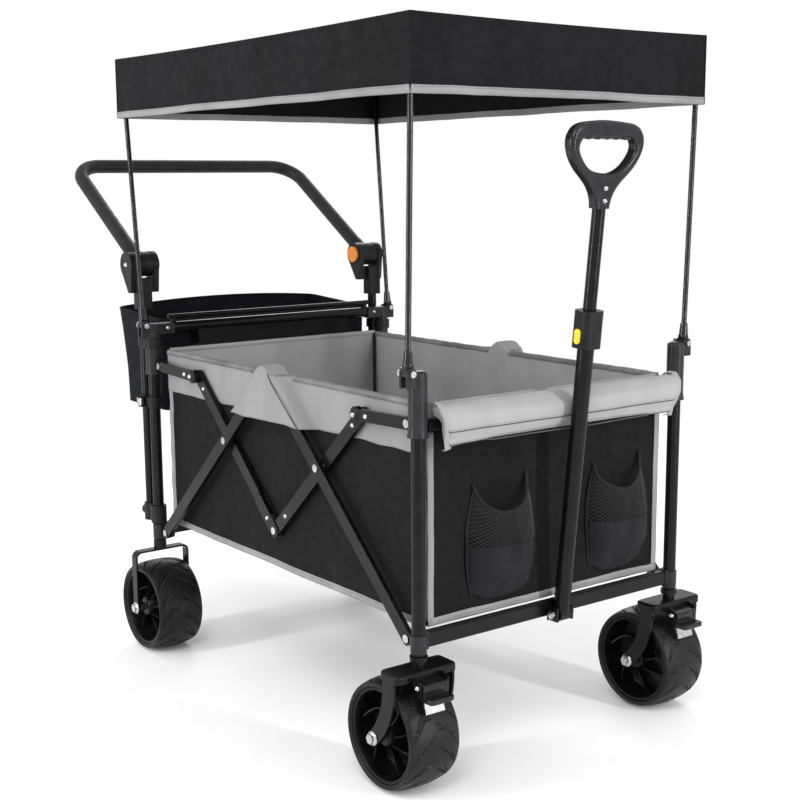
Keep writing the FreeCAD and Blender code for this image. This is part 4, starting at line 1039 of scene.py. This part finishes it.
def canopy_share(at):
    """A place's shares of the canopy's half length and half width."""
    return (at.x - CANOPY_MIDDLE.x) / (CANOPY_SIZE.x / 2), at.y / (CANOPY_SIZE.y / 2)


def fold_canopy(made):
    """Give the canopy piece its own copy of its mesh data."""
    return fold_cloth(made, canopy_low.x)


def canopy():
    """Fitted cover: a top that sags a little between its rods, and a hanging skirt with a pale hem."""
    xs = spaced(64, CANOPY_SIZE.x / 2 - EDGE_ROOM)
    ys = spaced(46, CANOPY_SIZE.y / 2 - EDGE_ROOM)
    points = [Vector((CANOPY_MIDDLE.x + x, y, top_height(x, y))) for y in ys for x in xs]
    across, along = len(xs), len(ys)
    faces = []
    uvs = []
    for j in range(along - 1):
        for i in range(across - 1):
            corner = j * across + i
            quad = (corner, corner + 1, corner + across + 1, corner + across)
            faces.append(quad)
            uvs += [(points[k].x, points[k].y) for k in quad]
    border = list(range(across))
    border += [j * across + across - 1 for j in range(1, along)]
    border += [(along - 1) * across + i for i in range(across - 2, -1, -1)]
    border += [j * across for j in range(along - 2, 0, -1)]
    edge = [points[index].copy() for index in border]
    add_skirt(points, faces, uvs, border, edge)
    cover = piece("canopy_sheet", points, faces, CANOPY_CLOTH, "canopy", uvs)
    thicken(cover, CLOTH)
    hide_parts("canopy_cover")
    fold_canopy(cover)
    canopy_hem(edge)
    canopy_seams(edge)


def add_skirt(points, faces, uvs, border, edge):
    """Rows of quads that hang from the border of the top."""
    around = len(border)
    rows = 14
    steps = [(edge[(k + 1) % around] - edge[k]).length for k in range(around)]
    along = np.concatenate([[0.0], np.cumsum(steps)])
    ring = border
    for row in range(rows):
        upper, lower = (CANOPY_SIZE.z * (row + step) / rows for step in (0, 1))
        fresh = [len(points) + k for k in range(around)]
        points += [skirt_point(at, (row + 1) / rows) for at in edge]
        for k in range(around):
            after = (k + 1) % around
            faces.append((ring[after], ring[k], fresh[k], fresh[after]))
            uvs += [(along[k + 1], upper), (along[k], upper), (along[k], lower), (along[k + 1], lower)]
        ring = fresh


def skirt_point(edge, share):
    """Point on the skirt below an edge point of the top."""
    u, v = canopy_share(edge)
    on_end = abs(u) > abs(v)
    out = X_AXIS * math.copysign(1, u) if on_end else Y_AXIS * math.copysign(1, v)
    along = v if on_end else u
    free = 1 - along ** 8
    sway = 0.0014 * math.sin(9 * along + 2 * u + v) + wobble(edge.x, edge.y, 3, 5.0, 0.003)
    lift = 0.0012 * (1 - along * along) + wobble(edge.x, edge.y, 6, 8.0, 0.0012) * free
    z = edge.z + (canopy_low.z + 0.0006 + lift - edge.z) * share
    return Vector((edge.x, edge.y, z)) + out * sway * share * share * free


def canopy_hem(edge):
    """Pale tape folded over the skirt's lower edge."""
    around = len(edge)
    start = 1 - HEM / CANOPY_SIZE.z
    profile = ((-0.0012, start), (-0.0014, 1.0), (0.0, 1.006), (0.0016, 1.0), (0.0015, 0.5 + start / 2),
               (0.0012, start))
    points = []
    for offset, share in profile:
        for at in edge:
            u, v = canopy_share(at)
            out = Vector((math.copysign(round(abs(u) ** 40), u), math.copysign(round(abs(v) ** 40), v), 0))
            points.append(skirt_point(at, share) + out * offset)
    faces = []
    uvs = []
    for j in range(len(profile) - 1):
        low, high = j * 0.005, (j + 1) * 0.005
        for k in range(around):
            after = (k + 1) % around
            here, over = j * around, (j + 1) * around
            faces.append((here + after, here + k, over + k, over + after))
            near, far = k * 0.015, k * 0.015 + (edge[after] - edge[k]).length
            uvs += [(far, low), (near, low), (near, high), (far, high)]
    fold_canopy(piece("canopy_hem", points, faces, BINDING, "canopy", uvs))


def on_edge(at, axis, sign):
    """Whether an edge point lies on the side that an axis and its sign name."""
    reach = (at[axis] - CANOPY_MIDDLE[axis]) * sign
    return abs(reach - (CANOPY_SIZE[axis] / 2 - EDGE_ROOM)) < 1e-5


def canopy_seams(edge):
    """Raised seams down the corners and rows of stitches round the top and over the hem."""
    corners = [at for at in edge if all(on_edge(at, axis, 1) or on_edge(at, axis, -1) for axis in (0, 1))]
    for index, at in enumerate(corners):
        line = [skirt_point(at, 0.99 * k / 20) for k in range(21)]
        fold_canopy(tube(f"canopy_corner_{index}", line, 0.0018, CANOPY_CLOTH, "canopy", 8, 1, X_AXIS))
    rows = (("top", 0.05, 0.0009, DARK_THREAD), ("hem", 1 - HEM / CANOPY_SIZE.z * 0.8, 0.0018, THREAD))
    sides = (("front", 0, 1), ("rear", 0, -1), ("left", 1, 1), ("right", 1, -1))
    for name, share, proud, thread in rows:
        for label, axis, sign in sides:
            picked = [at for at in edge if on_edge(at, axis, sign)]
            picked.sort(key=lambda at: at[1 - axis])
            out = (X_AXIS, Y_AXIS)[axis] * sign
            line = [skirt_point(at, share) + out * proud for at in picked]
            fold_canopy(stitches(f"canopy_{name}_stitches_{label}", line, out, thread, "canopy"))


# ---------------------------------------------------------------- wheels

TREAD_DEPTH = 0.0034
TREAD_TURNS = 15


def cut(turn, edge, start, end, shift, lean, width):
    """Depth share of one slanted slit between two width places."""
    if not start < edge < end:
        return 0.0
    taper = math.sin(math.pi * (edge - start) / (end - start)) ** 0.4
    phase = abs(((turn + shift + lean * edge) % 1.0) - 0.5)
    return smooth_step((width * taper - phase) / 0.02)


def groove(turn, across):
    """Share of the tread's depth that is cut away at an angle (in tread pitches) and a width place."""
    edge = abs(across)
    swing = turn + 1.3 * edge ** 1.5 + (0.5 if across > 0 else 0.0)
    deep = cut(swing, edge, 0.03, 0.93, 0.0, 0.0, 0.048)
    deep = max(deep, cut(swing, edge, 0.40, 0.99, 0.45, 0.55, 0.042))
    deep = max(deep, cut(swing, edge, 0.55, 0.80, 0.20, -1.9, 0.030))
    return max(deep, 0.8 * cut(swing, edge, 0.08, 0.42, 0.30, -0.8, 0.036))


def tyre_profile(half, outer, bead):
    """(width place, radius, tread share) from the left bead over the crown to the right bead."""
    beads = ((0.0052, 0.0), (0.0030, 0.0012), (0.0012, 0.0032), (0.0020, 0.0044), (0.0004, 0.0060))
    points = [(inset - half, bead + rise, 0.0) for inset, rise in beads]
    for k in range(41):
        across = -1 + k / 20
        drop = 0.0065 * abs(across) ** 2.4 + 0.0012 * smooth_step((abs(across) - 0.93) / 0.07)
        points.append((across * (half - 0.0004), outer - drop, across))
    points += [(-y, r, 0.0) for y, r, _ in reversed(points[:5])]
    return points


def wheels():
    """Four tyres with a directional tread, on deep rims with thin curved spokes."""
    for end, body in (("front", "front_wheel_"), ("rear", "rear_wheel_")):
        for name, _ in SIDES:
            low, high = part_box(f"{end}_tyre_{name}")
            rim_low, rim_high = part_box(f"{end}_rim_{name}")
            centre = (low + high) / 2
            make_tyre(f"tyre_{end}_{name}", centre, (high.y - low.y) / 2, (high.z - low.z) / 2,
                      (rim_high.z - rim_low.z) / 2, body + name, f"{end}_tyre_{name}")
            make_rim(f"rim_{end}_{name}", centre, (rim_high.y - rim_low.y) / 2, (rim_high.z - rim_low.z) / 2,
                     body + name, f"{end}_rim_{name}")


def make_tyre(name, centre, half, outer, bead, body, node):
    segments = 600
    profile = tyre_profile(half, outer, bead)
    points = []
    for k in range(segments):
        turn = k / segments
        angle = 2 * math.pi * turn
        cosine, sine = math.cos(angle), math.sin(angle)
        for place, radius, across in profile:
            if across:
                radius -= TREAD_DEPTH * groove(turn * TREAD_TURNS, across)
            points.append((centre.x + radius * cosine, centre.y + place, centre.z + radius * sine))
    count = len(profile)
    faces = []
    for k in range(segments):
        after = (k + 1) % segments
        for i in range(count - 1):
            faces.append((k * count + i, k * count + i + 1, after * count + i + 1, after * count + i))
        faces.append((k * count + count - 1, k * count, after * count, after * count + count - 1))
    made = piece(name, points, faces, TYRE, body)
    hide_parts(node)


def make_rim(name, centre, half, outer, body, node):
    """Band with rolled lips, hub barrel, web, and bowed spokes on both faces."""
    segments = 72
    hub = 0.0195
    bore = 0.0064
    band = outer - 0.0052
    axis = (0, 1, 0)
    barrel = [(outer - 0.0002, -half), (outer - 0.0002, half), (band + 0.0008, half)]
    barrel += [(band, half - 0.0012), (band - 0.0012, half - 0.012), (band - 0.003, 0.010)]
    barrel += [(band - 0.005, 0.0028), (hub + 0.006, 0.0028), (hub + 0.001, 0.006), (hub, half - 0.008)]
    barrel += [(hub - 0.002, half - 0.0055), (bore + 0.005, half - 0.005), (bore, half - 0.0065)]
    profile = barrel + [(r, -h) for r, h in reversed(barrel[2:])] + [barrel[0]]
    points = lathe_points(profile, centre, axis, segments)
    faces = ring_faces(len(profile), segments)
    for index in range(6):
        for face in (1, -1):
            add_spoke(points, faces, centre, index * math.pi / 3, face, hub, band, half)
    made = piece(name, points, faces, RIM_PLASTIC, body)
    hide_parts(node)
    edge = made.modifiers.new("edges", "BEVEL")
    edge.width = 0.0005
    edge.segments = 2
    edge.limit_method = "ANGLE"
    edge.angle_limit = math.radians(50)


def add_spoke(points, faces, centre, start, face, hub, band, half):
    """One thin spoke that curls from the hub to the band."""
    steps = 12
    thick = 0.0018
    base = len(points)
    for k in range(steps + 1):
        share = k / steps
        radius = hub - 0.002 + (band - hub - 0.001) * share
        angle = start + 0.95 * share ** 1.4
        tilt = angle + math.atan2(0.95 * 1.4 * share ** 0.4 * radius, band - hub)
        across = Vector((-math.sin(tilt), 0, math.cos(tilt))) * thick
        at = centre + Vector((math.cos(angle) * radius, 0, math.sin(angle) * radius))
        high = (half - 0.011) - 0.016 * math.sin(math.pi * share) - 0.004 * share
        for offset, height in ((across, 0.002), (across, high), (-across, high), (-across, 0.002)):
            points.append(at + offset + Vector((0, face * height, 0)))
    for k in range(steps):
        for a in range(4):
            b = (a + 1) % 4
            faces.append((base + 4 * k + a, base + 4 * k + b, base + 4 * k + 4 + b, base + 4 * k + 4 + a))


# ---------------------------------------------------------------- small hardware

SHORT_BAR_ANGLE = 42.5
HANDLE_LEAN = 5.94
WASHER = 0.0125
LINK_RIVET = 0.0048
BAR_RIVET = 0.0045
CAP_PROFILE = ((0.0, 0.42), (0.3, 0.40), (0.62, 0.30), (0.86, 0.14), (1.0, 0.0), (1.0, -0.1))


def hardware():
    """Screw heads, rivet heads and caps on the frame, the linkage and the handles."""
    for name, _ in SIDES:
        fork_low, fork_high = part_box("caster_fork_" + name)
        pedal_low, pedal_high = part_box("brake_pedal_" + name)
        centre = middle_of("front_tyre_" + name)
        places = both_faces(centre, (fork_high.y - fork_low.y) / 2)
        screws("caster_washers_" + name, places, WASHER, "caster_" + name, profile=CAP_PROFILE)
        pin = Vector((pedal_low.x + 0.010, centre.y, pedal_high.z - 0.008))
        screws("brake_rivets_" + name, both_faces(pin, 0.0302), BAR_RIVET, "caster_" + name)
    rear = []
    for name, _ in SIDES:
        rear += both_faces(middle_of("rear_tyre_" + name), 0.0622)
    screws("rear_washers", rear, WASHER, "rear_frame", profile=CAP_PROFILE)
    face_x = (rear_bar_low.x + rear_bar_high.x) / 2 + 0.0137
    end_y, end_z = rear_bar_high.y - 0.014, rear_bar_high.z - 0.027
    heads = [(Vector((face_x, side * end_y, end_z)), X_AXIS) for _, side in SIDES]
    screws("crossbar_screws", heads, 0.0042, "rear_frame")
    linkage_rivets()
    handle_screws()


def linkage_rivets():
    """The second rivets of each bracket on the side linkage."""
    short_low, short_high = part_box("rear_short_bars")
    angle = math.radians(SHORT_BAR_ANGLE)
    slope = Vector((math.cos(angle), 0, -math.sin(angle)))
    top = Vector((link_high.x - 0.014, 0, link_low.z + 0.014))
    low = Vector((MID_X, 0, short_low.z + 0.013))
    bar_face = short_high.y - 0.002
    for end, sign in (("rear", 1), ("front", -1)):
        lower_reach = 0.030 if sign > 0 else 0.052
        lower_face = bar_face + (0.002 if sign > 0 else -0.0002)

        def pair(place, face):
            """The place, mirrored to this end, on both sides of the wagon."""
            return both_faces(Vector((MID_X + sign * (place.x - MID_X), 0, place.z)), face)

        discs = pair(top, link_high.y - 0.0002)
        links = pair(top + Vector((-0.030, 0, 0.001)), link_high.y)
        centres = [(at + out * 0.0045, out) for at, out in discs]
        screws(end + "_link_rivets", links, LINK_RIVET, end + "_link_arms")
        screws(end + "_link_discs", discs, WASHER, end + "_link_arms", MATT_PLASTIC, CAP_PROFILE)
        screws(end + "_link_centres", centres, LINK_RIVET, end + "_link_arms")
        upper = pair(top + slope * 0.034, bar_face)
        screws(end + "_bar_rivets_upper", upper, BAR_RIVET, end + "_short_arms")
        lower = pair(low - slope * lower_reach, lower_face)
        screws(end + "_bar_rivets_lower", lower, BAR_RIVET, end + "_short_arms")


def handle_screws():
    """Screws of the pull grip's neck, the push connectors and the tilting hubs."""
    tube_low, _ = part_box("pull_outer_tube")
    foot = Vector((tube_low.x + 0.014, 0, tube_low.z + 0.0135))
    lean = math.radians(HANDLE_LEAN)
    along = Vector((math.sin(lean), 0, math.cos(lean)))
    face = Vector((math.cos(lean), 0, -math.sin(lean)))
    places = [(foot + along * rise + face * 0.0112, face) for rise in (0.7065, 0.7265)]
    screws("grip_screws", places, 0.0044, "handle_grip")
    hub = Vector((hub_high.x - 0.0258, 0, hub_low.z + 0.0258))
    connector_low, connector_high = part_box("push_connectors")
    arm = Vector((-0.318, 0, 0.205)).normalized()
    below = Vector((-arm.z, 0, arm.x))
    back, arms = [], []
    for _, side in SIDES:
        for rise in (0.014, 0.036):
            spot = Vector((connector_high.x - 0.0302, side * 0.295, connector_low.z + rise))
            back.append((spot, -X_AXIS))
        for reach in (0.050, 0.062):
            spot = hub + arm * reach + below * 0.0148
            arms.append((Vector((spot.x, side * 0.289, spot.z)), below))
    screws("hub_screws", both_faces(hub, connector_high.y - 0.0003), 0.0055, "sliding_tubes")
    screws("connector_screws", back, 0.0038, "sliding_tubes")
    screws("arm_screws", arms, 0.0034, "tilting_bar")


# ---------------------------------------------------------------- finishes of the carried-over parts

FINISHES = {
    "frame_steel": FRAME_PAINT,
    "black_plastic": MATT_PLASTIC,
    "gloss_black_plastic": GRIP_PLASTIC,
    "bright_steel": BRIGHT,
    "tyre_rubber": TYRE,
    "black_fabric": BLACK_CLOTH,
    "grey_fabric": PALE_CLOTH,
    "foam": FOAM,
    "orange_plastic": ORANGE,
    "yellow_plastic": YELLOW,
}
SPECIAL = {
    "rear_canopy_rods": ROD_PAINT,
    "front_canopy_rods": ROD_PAINT,
    "front_post_fittings": SLEEVE_PLASTIC,
    "rear_post_fittings": SLEEVE_PLASTIC,
    "brake_pedal_right": PEDAL_PLASTIC,
    "brake_pedal_left": PEDAL_PLASTIC,
}


def finish_cad_parts():
    """Give every carried-over part the finish of its slot."""
    for part in frame["record"]["subparts"]:
        node = frame["nodes"][part["node"]]
        material = SPECIAL.get(part["node"], FINISHES[part["material_slot"]])
        node.data.materials.clear()
        node.data.materials.append(material)


# ---------------------------------------------------------------- stage, light and camera

def area_light(name, place, target, size, power):
    data = bpy.data.lights.new(name, "AREA")
    data.shape = "RECTANGLE"
    data.size, data.size_y = size
    data.energy = power
    made = bpy.data.objects.new(name, data)
    made.location = place
    made.rotation_mode = "QUATERNION"
    made.rotation_quaternion = (Vector(target) - Vector(place)).to_track_quat("-Z", "Y")
    bpy.context.scene.collection.objects.link(made)


def stage():
    """Pale floor that fades to white with distance."""
    made = Surface("studio_floor")
    speck = made.noise(3, 2)
    colour = made.tint(made.between(speck, 0.0, 1.0), (0.88, 0.88, 0.88), (0.92, 0.92, 0.92))
    rough = made.between(made.noise(5, 2), 0.75, 0.85)
    material = made.finish(colour, rough, made.bump(made.noise(60, 2), 0.02, 0.001), Specular_IOR_Level=0.0)
    here = {0: made.coords.outputs["Object"]}
    away = made.node("ShaderNodeVectorMath", here, operation="LENGTH").outputs["Value"]
    inputs = {"Value": away, "From Min": 1.2, "From Max": 3.5, "To Min": 0.0, "To Max": 1.0}
    fade = made.node("ShaderNodeMapRange", inputs).outputs[0]
    white = made.node("ShaderNodeEmission", {})
    mixed = made.node("ShaderNodeMixShader", {0: fade, 1: made.shader.outputs[0], 2: white.outputs[0]})
    made.put(made.tree.nodes["Material Output"].inputs["Surface"], mixed.outputs[0])
    mesh = bpy.data.meshes.new("studio_floor")
    reach = 14
    corners = [(-reach, -reach, 0), (reach, -reach, 0), (reach, reach, 0), (-reach, reach, 0)]
    mesh.from_pydata(corners, [], [(0, 1, 2, 3)])
    mesh.materials.append(material)
    floor = bpy.data.objects.new("studio_floor", mesh)
    bpy.context.scene.collection.objects.link(floor)


def light():
    """White surroundings, a key light, two strips for highlights and a light from behind."""
    world = bpy.data.worlds.new("studio")
    world.use_nodes = True
    back = world.node_tree.nodes["Background"]
    back.inputs["Color"].default_value = (1, 1, 1, 1)
    back.inputs["Strength"].default_value = 1.0
    bpy.context.scene.world = world
    bpy.context.scene.view_settings.view_transform = "Standard"
    aim = (MID_X, 0, 0.55)
    area_light("key", (MID_X + 2.2, -2.2, 3.2), aim, (1.4, 1.4), 45)
    area_light("strip_right", (MID_X - 0.6, -3.4, 1.3), aim, (0.16, 2.8), 85)
    area_light("strip_front", (MID_X + 3.6, 0.9, 1.3), aim, (0.16, 2.8), 85)
    area_light("back", (MID_X - 3.0, 2.2, 2.6), aim, (1.6, 1.6), 40)


AZIMUTH = math.radians(53.29)
ELEVATION = math.radians(9.90)
ROLL = math.radians(-0.366)
DISTANCE = 2.655
LENS = 60.82
AIM_HEIGHT = 0.536


def camera():
    """Camera on the wagon's front right quarter."""
    back = Vector((math.sin(AZIMUTH) * math.cos(ELEVATION), -math.cos(AZIMUTH) * math.cos(ELEVATION),
                   math.sin(ELEVATION)))
    level = (-back).cross(Z_AXIS).normalized()
    upright = back.cross(level)
    right = level * math.cos(ROLL) + upright * math.sin(ROLL)
    up = back.cross(right)
    data = bpy.data.cameras.new("camera")
    data.sensor_width = 36
    data.lens = LENS
    data.shift_x = 0.0048
    data.shift_y = 0.0176
    made = bpy.data.objects.new("camera", data)
    bpy.context.scene.collection.objects.link(made)
    target = Vector((MID_X, 0, AIM_HEIGHT))
    turn = Matrix((right, up, back)).transposed().to_4x4()
    made.matrix_world = Matrix.Translation(target + back * DISTANCE) @ turn
    bpy.context.scene.camera = made


camera()
stage()
light()
finish_cad_parts()
side_cloths()
floor_cloth()
end_walls()
bumper()
pockets()
rear_bag()
canopy()
wheels()
hardware()
